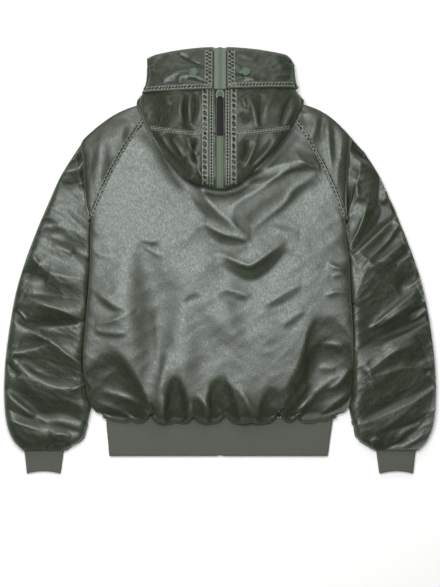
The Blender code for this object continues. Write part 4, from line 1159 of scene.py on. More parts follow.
@dataclass
class Body:
    """The back panel, gathered into the rib, and the two fronts under it."""

    wardrobe: Wardrobe
    rows: int = 178
    columns: int = 172
    side_steps: int = 5
    rib_y: float = -0.2990  # where the rib is sewn on
    hem_y: float = -0.3115  # as far as the gathers hang over it
    hem_top: float = -0.2880
    hem_depth: float = 0.0110
    hem_low: float = 0.0126  # height of the gathers' lower side
    tuck: float = 0.0060
    neck_dip: float = 0.0080
    notches: tuple[Notch, ...] = (
        Notch(-169, 7, 5), Notch(-133, 19, 9), Notch(-84, 3, 5), Notch(-51, 15, 8), Notch(10, 17, 8),
        Notch(60, 3, 6), Notch(112, 22, 10), Notch(146, 12, 7), Notch(190, 4, 5))

    def hem_line(self, x: Array, share: Array) -> Array:
        """Draws the lowest edge of the gathered back.

        Args:
            x: places across it, in metres.
            share: the same places as shares of its width.

        Returns:
            The edge's Y at each place.
        """
        rise = sum(n.rise * MM * np.exp(-(np.abs(x / MM - n.x) / n.half) ** 1.25) for n in self.notches)
        hanging = 1 - np.abs(2 * share - 1) ** 9
        return np.minimum(self.rib_y + (self.hem_y + rise - self.rib_y) * hanging, self.hem_top)

    @staticmethod
    def spread(y: Array, share: Array) -> Array:
        """X of places at shares of the way from the back's left edge to its right one."""
        left, right = TORSO.at(y, "left"), TORSO.at(y, "right")
        return left + (right - left) * share

    def height(self, x: Array, y: Array) -> Array:
        """Height of the back with its creases and its fine crumple."""
        broad = crumple(x, y, 0.042, 0.0006, 3.1, 32, 2.4)
        return torso_height(x, y, BACK_CREASES) + broad + crumple(x, y, 0.017, 0.00025, 4.6, -38, 3.2)

    def back_grid(self) -> Array:
        """Shapes the back's outer face, from its rolled hem to its neck.

        Returns:
            Rows of points.
        """
        share = crowd(self.columns, 0.94)
        x = self.spread(np.full_like(share, self.rib_y), share)
        centre = self.hem_line(x, share) + self.hem_depth
        half = (self.height(x, centre) - self.hem_low) / 2
        grid = [np.column_stack([x, centre - self.hem_depth * cos(angle),
                                 self.hem_low + half + half * sin(angle)])
                for angle in np.radians([-62, -40, -20, 0, 16, 32, 48, 62, 76])]
        for t in np.linspace(0, 1, self.rows * 2 // 3):
            y = centre + (UNDERARM_Y - centre) * t
            x = self.spread(y, share)
            grid.append(np.column_stack([x, y, self.height(x, y)]))
        for along in np.linspace(1, 0, self.rows // 3)[1:]:
            left, right = raglan(along, Side.LEFT), raglan(along, Side.RIGHT)
            x, y = (left[i] + (right[i] - left[i]) * share for i in (0, 1))
            y = y - self.neck_dip * (1 - along) ** 3 * np.clip(1 - (x / RAGLAN_TOP[0]) ** 2, 0, None)
            grid.append(np.column_stack([x, y, self.height(x, y)]))
        return self.with_sides(np.array(grid))

    def with_sides(self, grid: Array) -> Array:
        """Turns the left and right ends down: round under at the sides, short at the armholes.

        Args:
            grid: the back's rows of points.

        Returns:
            The rows with their ends.
        """
        low = grid[:, :1, 1] < UNDERARM_Y + 1e-6
        inwards = np.where(low, self.tuck, 0.0004)
        angles = np.linspace(0, pi / 2, self.side_steps + 1)[1:]
        wings = []
        for edge, sign in ((grid[:, :1], 1), (grid[:, -1:], -1)):
            drop = np.where(low, edge[..., 2] - SPLIT - EDGE_GAP, 0.0030)
            wing = [moved(edge, x=sign * inwards * (1 - cos(a)), z=-drop * sin(a)) for a in angles]
            wings.append(np.concatenate(wing, axis=1))
        return np.concatenate([wings[0][:, ::-1], grid, wings[1]], axis=1)

    def front_grid(self, side: Side) -> Array:
        """Shapes a front's outer face: on the surface, and turned up at its side to meet the back.

        Args:
            side: the wearer's side.

        Returns:
            Rows of points from the rib to the neck.
        """
        share = crowd_end(58)
        ends = [(outline(TORSO, y, side), y) for y in np.linspace(-0.2985, UNDERARM_Y, 96)]
        ends += [tuple(raglan(s, side)) for s in np.linspace(1, 0, 40)[1:]]
        start = side.value * ZIP_HALF
        turned = turned_up((share - 0.93) / 0.07)
        grid = []
        for x_end, y_end in ends:
            x = start + (x_end - side.value * self.tuck - start) * share
            dip = FRONT_DIP * np.clip(1 - (x / RAGLAN_TOP[0]) ** 2, 0, None)
            high = max(0.0, y_end - UNDERARM_Y) / (RAGLAN_TOP[1] - UNDERARM_Y)
            y = y_end - dip * high ** 3
            lift = underside_lift(TORSO_CREASES, x, y) * (1 - (2 * share - 1) ** 8)
            rise = turned if y_end <= UNDERARM_Y else turned * 0.3
            grid.append(np.column_stack([x, y, FLOOR_GAP + rise + lift]))
        return np.array(grid)

    def build(self) -> list[Piece]:
        """Makes the cut pieces.

        Returns:
            The back and the two fronts.
        """
        back = shell("back_body", self.back_grid(), self.wardrobe.satin)
        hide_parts("back_panel")
        pieces = [back]
        for side in Side:
            front = shell(f"front_body_{side.word}", self.front_grid(side), self.wardrobe.satin, up=False)
            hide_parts(f"front_{side.word}")
            pieces.append(front)
        return pieces


# ---- the sleeves
@dataclass
class Sleeve:
    """One raglan sleeve: a back half, which hangs from the shoulder in a long fold, and a front half."""

    wardrobe: Wardrobe
    side: Side
    cap_creases: list[Crease]
    arm_creases: list[Crease]
    columns: int = 84
    cap_rows: int = 36
    arm_rows: int = 260
    pleat_top: float = 0.2320
    pleat_end: float = 0.0770
    flare: float = 0.0036  # how far the fold stands out past the back's outline at its lower end
    bow: float = 0.0180  # how far the shoulder line bulges
    corner: float = 0.0  # how far the fold's upper end stands out
    outer_sag: float = 0.0  # how far the arm sinks along its outer edge
    pleat_tuck: float = 0.0080  # how far the cloth runs back under the fold
    inner_tuck: float = 0.0020  # how far the arm reaches under the back's edge
    part_y: float = -0.262  # where the arm leaves the back's edge
    part_run: float = 0.026
    outer_edge: float = 0.0195
    cuff_top: float = 0.0127

    def pleat(self, share: Array) -> Array:
        """Draws the fold where the cap hangs over the arm.

        Args:
            share: places along it, from the neck's end (0) to the underarm (1).

        Returns:
            A plan point for each place.
        """
        y = self.pleat_top + (self.pleat_end - self.pleat_top) * share
        out = self.flare * share + self.corner * (1 - share) ** 6
        return np.column_stack([outline(TORSO, y, self.side) + self.side.value * out, y])

    def cap_plan(self, along: float, share: Array) -> Array:
        """Draws a line on the cap.

        Args:
            along: where it lies between the raglan seam (0) and the fold (1).
            share: places along it.

        Returns:
            A plan point for each place.
        """
        way = np.array([0.447 * self.side.value, 0.894]) * self.bow * sin(pi * along)
        return (raglan(share, self.side) * (1 - along) + self.pleat(share) * along
                + way * ((1 - share) ** 2)[:, None])

    def ends(self, row: Array | float) -> tuple[Array, Array]:
        """Finds both ends of lines across the arm.

        Args:
            row: the lines' places in the arm's table.

        Returns:
            Plan points of the outer and of the inner ends.
        """
        inner_y = ARM.at(row, "inner_y")
        body = np.abs(outline(TORSO, inner_y, self.side)) - self.inner_tuck
        apart = np.clip((self.part_y - inner_y) / self.part_run, 0, 1)
        apart = apart * apart * (3 - 2 * apart)
        inner = body * (1 - apart) + ARM_INNER.at(inner_y, "x") * apart
        sign = self.side.value
        return (np.stack([sign * ARM.at(row, "x"), ARM.at(row, "y")], -1),
                np.stack([sign * inner, inner_y], -1))

    def arm_line(self, row: float, share: Array) -> Array:
        """Draws one line across the arm, with its creases.

        Args:
            row: the line's place in the arm's table.
            share: places along it, from its outer end to its inner one.

        Returns:
            The line's points.
        """
        plan = between(*self.ends(row), share)
        x, y = plan.T
        sign = self.side.value
        crown = ARM.at(row, "crown")
        edge = np.minimum(self.outer_edge * (1 - share) + SPLIT * share, crown)
        folds = 1.12 * relief(self.arm_creases, x, y) * (1 - np.abs(2 * share - 1) ** 30)
        fine = crumple(x, y, 0.030, 0.0013, 5.7 + sign, sign * 30, 2.4)
        crown = np.maximum(edge, crown - self.outer_sag * (1 - share) * min(1.0, row / 1.5))
        height = edge + (crown - edge) * arch(2 * share - 1, 12.0) + folds + fine
        return np.column_stack([plan, np.maximum(height, np.minimum(edge, SPLIT))])

    def back_grid(self) -> Array:
        """Shapes the back half's outer face: the cap, the fold, and the arm with its gathers at the cuff.

        Returns:
            Rows of points.
        """
        share = crowd(self.columns, 0.97)
        creases = BACK_CREASES + self.cap_creases
        grid = []
        for along in np.linspace(0, 1, self.cap_rows):
            plan = self.cap_plan(along, share)
            x, y = plan.T
            height = torso_height(x, y, creases) + crumple(x, y, 0.045, 0.0006, 2.2)
            grid.append(np.column_stack([plan, height]))
        grid.insert(0, moved(grid[0], z=-0.003))
        lip = grid[-1]
        depth = np.sin(pi * share) ** 0.7 * (1 - share ** 4)
        plan = lip[:, :2] * 0.96 + between(*self.ends(0.0), share) * 0.04
        for turn, sink in ((0.35, 0.25), (0.30, 0.55), (-0.2, 0.85), (-1.0, 1.0)):
            x = plan[:, 0] + self.side.value * self.pleat_tuck * turn * depth
            grid.append(np.column_stack([x, plan[:, 1], lip[:, 2] - (0.0015 + 0.0095 * depth) * sink]))
        tucked, start = grid[-1], self.arm_line(0.0, share)
        for t in np.linspace(0, 1, 18)[1:-1]:
            low = tucked * (1 - t) + start * t
            low[:, 2] = tucked[:, 2] + (start[:, 2] - tucked[:, 2]) * sin(pi / 2 * t) ** 0.8
            low[:, 2] += relief(self.arm_creases, low[:, 0], low[:, 1]) * depth * t
            grid.append(low)
        rows = np.linspace(0, 13, 400)
        length = distances(sum(self.ends(rows)) / 2)
        even = np.interp(np.linspace(0, length[-1], self.arm_rows), length, rows)
        grid += [self.arm_line(row, share) for row in even]
        last = grid[-1]
        spare = np.clip(last[:, 2] - self.cuff_top, 0, None)
        grid += [moved(last, y=back, z=-spare * sink)
                 for back, sink in ((-0.0012, 0.30), (-0.0014, 0.62), (0.0002, 0.88), (0.0040, 1.0))]
        return self.with_ends(np.array(grid))

    @staticmethod
    def with_ends(grid: Array) -> Array:
        """Turns both edges of the back half down to the split.

        Args:
            grid: its rows of points.

        Returns:
            The rows with their ends.
        """
        wings = []
        for edge in (grid[:, :1], grid[:, -1:]):
            drop = edge[..., 2] - SPLIT - EDGE_GAP
            wings.append(np.concatenate([moved(edge, z=-drop * s) for s in (0.4, 0.75, 1.0)], axis=1))
        return np.concatenate([wings[0][:, ::-1], grid, wings[1]], axis=1)

    def front_grid(self) -> Array:
        """Shapes the front half's outer face: flat on the surface, and turned up at both edges.

        Returns:
            Rows of points.
        """
        share = crowd(46, 0.95)
        lines = [self.cap_plan(along, share) for along in (0.0, 0.25, 0.5, 0.75, 1.0)]
        lines += [between(*ends, share) for ends in zip(*self.ends(np.linspace(0, 11.4, 116)))]
        rise = turned_up((np.abs(2 * share - 1) - 0.88) / 0.12)
        fade = 1 - (2 * share - 1) ** 8
        heights = [rise + fade * underside_lift(self.arm_creases, *line.T) for line in lines]
        return np.array([np.column_stack([line, FLOOR_GAP + high]) for line, high in zip(lines, heights)])

    def build(self) -> list[Piece]:
        """Makes the cut pieces.

        Returns:
            The back half and the front half.
        """
        word = self.side.word
        back = shell(f"sleeve_back_half_{word}", self.back_grid(), self.wardrobe.sleeve_satin)
        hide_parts(f"sleeve_back_{word}")
        front = shell(f"sleeve_front_half_{word}", self.front_grid(), self.wardrobe.sleeve_satin, up=False)
        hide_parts(f"sleeve_front_{word}")
        return [back, front]


# ---- rib knit
@dataclass
class RibBand:
    """A knitted band lying flat: a ring of ribs, whose lower end the surface carries."""

    name: str
    node: str
    wardrobe: Wardrobe
    rows: list[tuple[float, float, float]]  # Y, left and right edge in millimetres, from its lower end up
    flat: tuple[float, float]
    pitch: float = 2.5 * MM
    relief: float = 0.45 * MM
    height: float = 0.0118
    bow: float = 0.0  # how far its lower edge curves up
    dent: float = 0.0  # how far that edge is drawn up in its middle
    slit: float = 0.0  # how far it stands open below, for the front zip

    def loop(self, left: float, right: float, place: Array, ripple: Array) -> Array:
        """Draws a line round the flattened ring.

        Args:
            left: the ring's left edge.
            right: its right edge.
            place: how far round it each point lies, from the upper face's left end.
            ripple: how far the ribs stand out at each point.

        Returns:
            X and height of each point.
        """
        radius = self.height / 2
        straight, bend = right - left - 2 * radius, pi * radius
        line = []
        for p, out in zip(place, radius - 0.0005 + ripple - self.relief):
            if p < straight:
                line.append((left + radius + p, radius + out))
            elif p < straight + bend:
                a = pi / 2 - (p - straight) / radius
                line.append((right - radius + out * cos(a), radius + out * sin(a)))
            elif p < 2 * straight + bend:
                line.append((right - radius - (p - straight - bend), radius - out))
            else:
                a = -pi / 2 - (p - 2 * straight - bend) / radius
                line.append((left + radius + out * cos(a), radius + out * sin(a)))
        return np.array(line)

    def build(self) -> Piece:
        """Makes the band, with a rounded hem at its lower end.

        Returns:
            The band.
        """
        edges = Sizes("y left right", self.rows)
        widest = (self.rows[-1][2] - self.rows[-1][1]) * MM
        ribs = int(round(2 * widest / self.pitch))
        turn = np.linspace(0, 1, 4 * ribs + 1) if self.slit else np.arange(4 * ribs) / (4 * ribs)
        ripple = self.relief * (0.5 + 0.5 * np.cos(2 * pi * turn * ribs))
        radius = self.height / 2
        grid = []
        for share, y in zip(np.linspace(0, 1, 15), np.linspace(edges.where[-1], edges.where[0], 15)):
            left, right = edges.at(y, "left"), edges.at(y, "right")
            straight = right - left - 2 * radius
            around = 2 * straight + 2 * pi * radius
            start = straight + pi * radius + right - radius + self.slit / 2 if self.slit else 0.0
            x, z = self.loop(left, right, (start + turn * (around - self.slit)) % around,
                             ripple * min(1.0, (1 - share) * 9)).T
            aside = np.clip((2 * x - left - right) / (right - left), -1, 1)
            sag = self.bow * share ** 3 * (1 - aside ** 2)
            sag = sag + self.dent * share ** 6 * np.exp(-(x / 0.004) ** 2)
            grid.append(np.column_stack([x, y + sag, z + FLOOR_GAP]))
        middle = grid[-1][:, 2].mean()
        for pull, down in ((0.10, 0.0004), (0.22, 0.0)):
            grid.append(moved(grid[-1], y=-down, z=(middle - grid[-1][:, 2]) * pull))
        band = shell(self.name, np.array(grid), self.wardrobe.rib, ring=not self.slit, thick=0.0022)
        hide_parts(self.node)
        return band


# ---- the hood
UNDER = Sizes("y left right", [
    (150, -47, 35), (165, -76, 52), (190, -101, 83), (220, -122, 114), (250, -140, 136), (275, -151, 149),
    (292, -158, 157), (306, -157, 159), (312, -154, 156), (325, -141, 143), (345, -130, 133),
    (367, -116, 119)])


@dataclass
class Hood:
    """The hood thrown back: its crown in four cut pieces, and its neck folded under them."""

    wardrobe: Wardrobe
    columns: int = 74
    inner: float = 0.0068  # from the middle to the edges beside the zip
    rim: float = 0.0060
    tuck: float = 0.0035
    spacing: float = 0.0019
    neck_low: float = 0.0412
    chin_y: float = 0.3085

    def height(self, x: Array, y: Array) -> Array:
        """Height of the crown with its creases."""
        folds = relief(HOOD_CREASES, x, y) * (1 - np.abs(across(HOOD, x, y)) ** 10)
        return hood_height(x, y) + 1.35 * folds + crumple(x, y, 0.032, 0.0007, 8.4, 70, 1.6)

    @staticmethod
    def line(y: float, side: Side, share: Array, inner: float, proud: float = 0.0) -> tuple[Array, Array]:
        """Draws one line across half of the hood, from beside the zip to its outline.

        Args:
            y: where the line starts.
            side: the wearer's side.
            share: places along it.
            inner: how far from the middle it starts.
            proud: how far past the outline it ends.

        Returns:
            X and Y of the places.
        """
        bow = HOOD_BOW.at(y, "rise")
        end = outline(HOOD, y + bow, side) + side.value * proud
        start = side.value * min(inner, abs(end) * 0.6)
        x = start + (end - start) * share
        return x, y + bow * (x / end) ** 2

    def half_grid(self, side: Side, low: float, high: float, tip: bool) -> Array:
        """Shapes a cut piece's outer face between two lines across the hood, turned under at its outline.

        Args:
            side: the wearer's side.
            low: Y of the first line.
            high: Y of the last line.
            tip: whether the first line is turned under too.

        Returns:
            Rows of points.
        """
        share = crowd_end(self.columns)
        grid = []
        for level in np.linspace(low, high, int((high - low) / self.spacing)):
            x, y = self.line(level, side, share, self.inner)
            row = np.column_stack([x, y, self.height(x, y)])
            turned = [moved(row[-1:], x=-side.value * self.tuck * (1 - cos(a)), z=-self.rim * sin(a))
                      for a in np.radians([25, 50, 75, 90])]
            grid.append(np.concatenate([row] + turned))
        if tip:
            spare = np.clip(grid[0][:, 2] - 0.0500, 0, None)
            grid = [moved(grid[0], y=0.0020 - 0.0036 * cos(a), z=-spare * sin(a))
                    for a in np.radians([90, 60, 30])] + grid
        return np.array(grid)

    def under_grid(self) -> Array:
        """Shapes the neck and the lower layer: one rounded fold between the coat's back and the crown.

        Returns:
            Rows of points.
        """
        share = crowd(70, 0.96) * 2 - 1
        grid = []
        for level in np.linspace(0.150, 0.367, 62):
            left, right = UNDER.at(level, "left"), UNDER.at(level, "right")
            x = (left + right) / 2 + (right - left) / 2 * share
            y = np.full_like(x, level)
            rest = (torso_height(x, y, []) if level < 0.310 else np.full_like(x, SPLIT)) + 0.0010
            top = np.maximum(hood_bed(x, y) - 0.0016, rest + 0.0015)
            grid.append(np.column_stack([x, y, rest + (top - rest) * arch(share, 9.0)]))
        grid.insert(0, moved(grid[0], z=self.neck_low - grid[0][:, 2]))
        return np.array(grid)

    def chin_grid(self, side: Side) -> Array:
        """Shapes the hood's front part, on the surface: from the front neckline to the mouth.

        Args:
            side: the wearer's side.

        Returns:
            Rows of points.
        """
        aside = crowd_end(22)
        grid = []
        for share in np.linspace(0, 1, 16):
            follow = self.chin_y + (MOUTH_Y - self.chin_y) * share * 0.8
            wide = abs(outline(HOOD, follow, side)) - 0.003
            x = side.value * (ZIP_HALF + (wide - ZIP_HALF) * aside)
            outside = np.abs(x) > RAGLAN_TOP[0]
            neck = RAGLAN_TOP[1] + np.where(outside, 0.0045 * (np.abs(x) - RAGLAN_TOP[0]) / 0.03,
                                            -FRONT_DIP * (1 - (x / RAGLAN_TOP[0]) ** 2))
            mouth = MOUTH_Y - 0.004 - 0.0185 * (x / wide) ** 2
            bend = np.maximum(np.clip((aside - 0.9) / 0.1, 0, 1), max(0.0, (share - 0.92) / 0.08))
            rise = (SPLIT - 0.001) * (1 - np.sqrt(1 - bend ** 2))
            grid.append(np.column_stack([x, neck + (mouth - neck) * share, FLOOR_GAP + rise]))
        return np.array(grid)

    def build(self) -> dict[str, Piece]:
        """Makes the cut pieces.

        Returns:
            The crown's four pieces, the folded neck and the two chin parts, by their parts' names.
        """
        made = {}
        satin = self.wardrobe.hood_satin
        for side in Side:
            low = shell(f"hood_tip_half_{side.word}",
                        self.half_grid(side, TIP_Y, CROSS_SEAM_Y - 0.0003, True), satin)
            high = shell(f"hood_crown_half_{side.word}",
                         self.half_grid(side, CROSS_SEAM_Y + 0.0003, MOUTH_Y, False), satin)
            chin = shell(f"hood_chin_part_{side.word}", self.chin_grid(side), satin, up=False)
            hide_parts(f"hood_back_{side.word}")
            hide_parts(f"hood_top_{side.word}")
            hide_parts(f"hood_chin_{side.word}")
            made.update({f"tip_{side.word}": low, f"crown_{side.word}": high, f"chin_{side.word}": chin})
        made["neck"] = shell("hood_folded_neck", self.under_grid(), satin)
        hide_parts("hood_under")
        return made

    @staticmethod
    def declare(made: dict[str, Piece], seams: list[Piece]) -> None:
        """Does nothing with the pieces.

        Args:
            made: the pieces by their parts' names; not used.
            seams: the seams and threads that lie on the hood; not used.
        """


@dataclass
class Brim:
    """One half of the brim, turned back over the hood and rolled round its mouth."""

    wardrobe: Wardrobe
    side: Side
    thick: float = 0.0076
    edge_thick: float = 0.0060
    inner: float = 0.0128  # from the middle to its edge beside the zip
    proud: float = 0.0037  # how far it stands out past the hood
    columns: int = 74
    rows: int = 42
    corner: float = 0.0030  # how far its outer corner at the mouth is rounded off
    mouth_low: float = 0.0190  # height of the rolled mouth's lower side

    def top(self, x: Array, y: Array, share: float) -> Array:
        """Shapes the brim's upper face.

        Args:
            x: places across the coat.
            y: places along it.
            share: 0 at the sewn edge and 1 at the mouth.

        Returns:
            The height at each place.
        """
        lift = self.edge_thick + (self.thick - self.edge_thick) * min(1.0, share * 5)
        inside = np.clip((0.150 - np.abs(x)) / 0.012, 0, 1)
        folds = relief(BRIM_CREASES, x, y) * inside
        return hood_height(x, y) + lift + 1.2 * folds + crumple(x, y, 0.018, 0.0009, 11.3, 20, 1.5)

    def grid(self) -> Array:
        """Shapes the brim's outer face: round its sewn edge, over the hood, and round the mouth.

        Returns:
            Rows of points.
        """
        share = crowd_end(self.columns)
        sign = self.side.value
        x, y_low = Hood.line(BRIM_EDGE_Y, self.side, share, self.inner, self.proud)
        y_low = y_low + BRIM_TILT * x
        y_high = Hood.line(MOUTH_Y, self.side, share, self.inner, self.proud)[1]
        y_high = y_high - self.corner * np.clip((share - 0.84) / 0.16, 0, 1) ** 2.4
        start = sign * self.inner
        lines = []
        for t in np.linspace(0, 1, self.rows):
            level = BRIM_EDGE_Y + (MOUTH_Y - BRIM_EDGE_Y) * t
            end = outline(HOOD, level + HOOD_BOW.at(level, "rise"), self.side) + sign * self.proud
            x = start + (end - start) * share
            y = y_low + (y_high - y_low) * t
            lines.append(np.column_stack([x, y, self.top(x, y, t)]))
        last = lines[-1]
        lines = [moved(lines[0], y=0.0004 - 0.0022 * cos(a), z=-0.0050 * sin(a))
                 for a in np.radians([90, 60, 30])] + lines
        half = (last[:, 2] - self.mouth_low) / 2
        lines += [np.column_stack([last[:, 0], last[:, 1] + self.thick * sin(a),
                                   self.mouth_low + half + half * cos(a)])
                  for a in np.radians([18, 36, 56, 76, 96, 116, 138, 160])]
        grid = np.array(lines)
        edge = grid[:, -1:]
        low = np.minimum(hood_height(edge[..., 0], edge[..., 1]) - 0.006, edge[..., 2])
        wings = [moved(edge, x=-sign * 0.0045 * (1 - cos(a)), z=(low - edge[..., 2]) * sin(a))
                 for a in np.radians([20, 42, 66, 90])]
        return np.concatenate([grid] + wings, axis=1)

    def build(self) -> Piece:
        """Makes the half.

        Returns:
            The half.
        """
        word = self.side.word
        piece = shell(f"turned_brim_{word}", self.grid(), self.wardrobe.brim_satin)
        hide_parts(f"brim_{word}")
        return piece

    def declare(self, piece: Piece, seams: list[Piece]) -> None:
        """Does nothing with the half.

        Args:
            piece: the half; not used.
            seams: the seams and threads that lie on the brim; not used.
        """


# ---- seams and stitches
def row_tree(name: str, sizes: dict[str, float]) -> tuple[Tree, Node, Node]:
    """Starts geometry nodes that set copies at an even pitch along every line that they are given.

    Args:
        name: the tree's name.
        sizes: its inputs in metres, one of which is the pitch, and their values at first.

    Returns:
        The tree, its inputs, and the places of the copies.
    """
    tree = bpy.data.node_groups.new(name, "GeometryNodeTree")
    face = tree.interface
    face.new_socket("Geometry", in_out="INPUT", socket_type="NodeSocketGeometry")
    for label, value in sizes.items():
        face.new_socket(label, in_out="INPUT", socket_type="NodeSocketFloat").default_value = value
    face.new_socket("Material", in_out="INPUT", socket_type="NodeSocketMaterial")
    face.new_socket("Geometry", in_out="OUTPUT", socket_type="NodeSocketGeometry")
    given = add_node(tree, "NodeGroupInput")
    curve = add_node(tree, "GeometryNodeMeshToCurve", Mesh=given.outputs["Geometry"])
    places = add_node(tree, "GeometryNodeResampleCurve", {"mode": "LENGTH"}, Curve=curve.outputs[0],
                      Length=given.outputs["Pitch"])
    return tree, given, places


def finish_row(tree: Tree, given: Node, places: Node, bead: Node, size: Node, axis: str) -> None:
    """Ends such geometry nodes: each copy is a bead, scaled and turned along its line.

    Args:
        tree: the tree.
        given: its inputs.
        places: the places of the copies.
        bead: the bead.
        size: how far it is scaled along its three axes.
        axis: which of them runs along the line.
    """
    way = add_node(tree, "GeometryNodeInputTangent")
    turn = add_node(tree, "FunctionNodeAlignRotationToVector", {"axis": axis}, Vector=way.outputs[0])
    shaped = add_node(tree, "GeometryNodeTransform", Geometry=bead.outputs["Mesh"], Scale=size.outputs[0])
    copies = add_node(tree, "GeometryNodeInstanceOnPoints", Points=places.outputs[0],
                      Instance=shaped.outputs[0], Rotation=turn.outputs[0])
    real = add_node(tree, "GeometryNodeRealizeInstances", Geometry=copies.outputs[0])
    painted = add_node(tree, "GeometryNodeSetMaterial", Geometry=real.outputs[0],
                       Material=given.outputs["Material"])
    add_node(tree, "NodeGroupOutput", Geometry=painted.outputs[0])


def stitch_tree() -> Tree:
    """Makes the geometry nodes for a row of stitches.

    Returns:
        The tree.
    """
    tree, given, places = row_tree("stitch row", {"Pitch": 3.2 * MM, "Length": 2.3 * MM, "Width": 0.7 * MM,
                                                  "Height": 0.5 * MM})
    size = add_node(tree, "ShaderNodeCombineXYZ", X=given.outputs["Length"], Y=given.outputs["Width"],
                    Z=given.outputs["Height"])
    bead = add_node(tree, "GeometryNodeMeshUVSphere", {"Segments": 6, "Rings": 4, "Radius": 0.5})
    finish_row(tree, given, places, bead, size, "X")
    return tree


def along_lines(name: str, tree: Tree, lines: list[Array], values: dict[str, object]) -> Piece:
    """Runs a tree of geometry nodes over some lines and keeps the plain mesh that it makes.

    Args:
        name: the piece's name.
        tree: the geometry nodes.
        lines: each line's points.
        values: the tree's inputs, by name.

    Returns:
        The object, with no modifier.
    """
    points, edges = [], []
    for line in lines:
        first = len(points)
        points += line.tolist()
        edges += [(first + i, first + i + 1) for i in range(len(line) - 1)]
    mesh = bpy.data.meshes.new(name)
    mesh.from_pydata(points, edges, [])
    guide = link(name + "_guide", mesh)
    modifier = guide.modifiers.new("nodes", "NODES")
    modifier.node_group = tree
    for socket in tree.interface.items_tree:
        if socket.in_out == "INPUT" and socket.name in values:
            modifier[socket.identifier] = values[socket.name]
    bpy.context.view_layer.update()
    result = guide.evaluated_get(bpy.context.evaluated_depsgraph_get())
    made = bpy.data.meshes.new_from_object(result)
    made.name = name
    made.shade_smooth()
    bpy.data.objects.remove(guide)
    return link(name, made)


@dataclass
class SeamBand:
    """A felled seam with rows of topstitching, drawn up into puckers by its thread."""

    name: str
    path: Array
    width: float
    pucker: float = 1.7 * MM  # depth of the dents that the thread draws in
    pitch: float = 5.6 * MM
    height: float = 1.5 * MM
    rows: tuple[float, ...] = (-0.50, 0.50)  # where the dents lie, from edge (-1) to edge (1)
    threads: tuple[float, ...] = (-0.50, 0.50)
    pit_width: float = 0.26
    skew: float = 0.0  # how far the dents lean, as a share of a turn from edge to edge
    seed: float = 1.0
    step: float = 0.9 * MM
    columns: int = 13

    def build(self, ground: Ground, material: Material) -> tuple[Piece, list[Array]]:
        """Makes the band on a ground.

        Args:
            ground: the cloth that the band lies on.
            material: the band's finish.

        Returns:
            The band, and the lines that its threads run along.
        """
        path = even_path(self.path, self.step)
        share = np.linspace(-1, 1, self.columns)
        plan = np.stack([offset_path(path, -s * self.width / 2) for s in share], axis=1)
        grid = ground.drop(plan)
        length = np.arange(len(path)) * self.step
        wander = np.array([noise.noise((s / 0.021, self.seed, 0.0)) for s in length])
        strength = np.array([0.75 + 1.1 * noise.noise((s / 0.011, self.seed, 5.0)) for s in length])
        lift = self.height * (1 - np.abs(share) ** 5) * np.ones((len(path), 1))
        for number, row in enumerate(self.rows):
            along = 2 * pi * length / self.pitch + 3.4 * wander + 2.3 * number
            phase = along[:, None] + pi * self.skew * share
            pits = strength[:, None] * (0.5 + 0.5 * np.cos(phase)) ** 1.25
            groove = np.exp(-((share - row) / self.pit_width) ** 2)
            lift -= groove * (0.25 * self.height + self.pucker * pits)
        lift[:, np.abs(share) > 0.99] = -0.0005
        grid[..., 2] += lift
        lines = [np.column_stack([grid[:, k, :2], grid[:, k, 2] + 0.0002])
                 for k in (round((row + 1) / 2 * (self.columns - 1)) for row in self.threads)]
        return shell(self.name, grid, material, thick=0.0006), lines


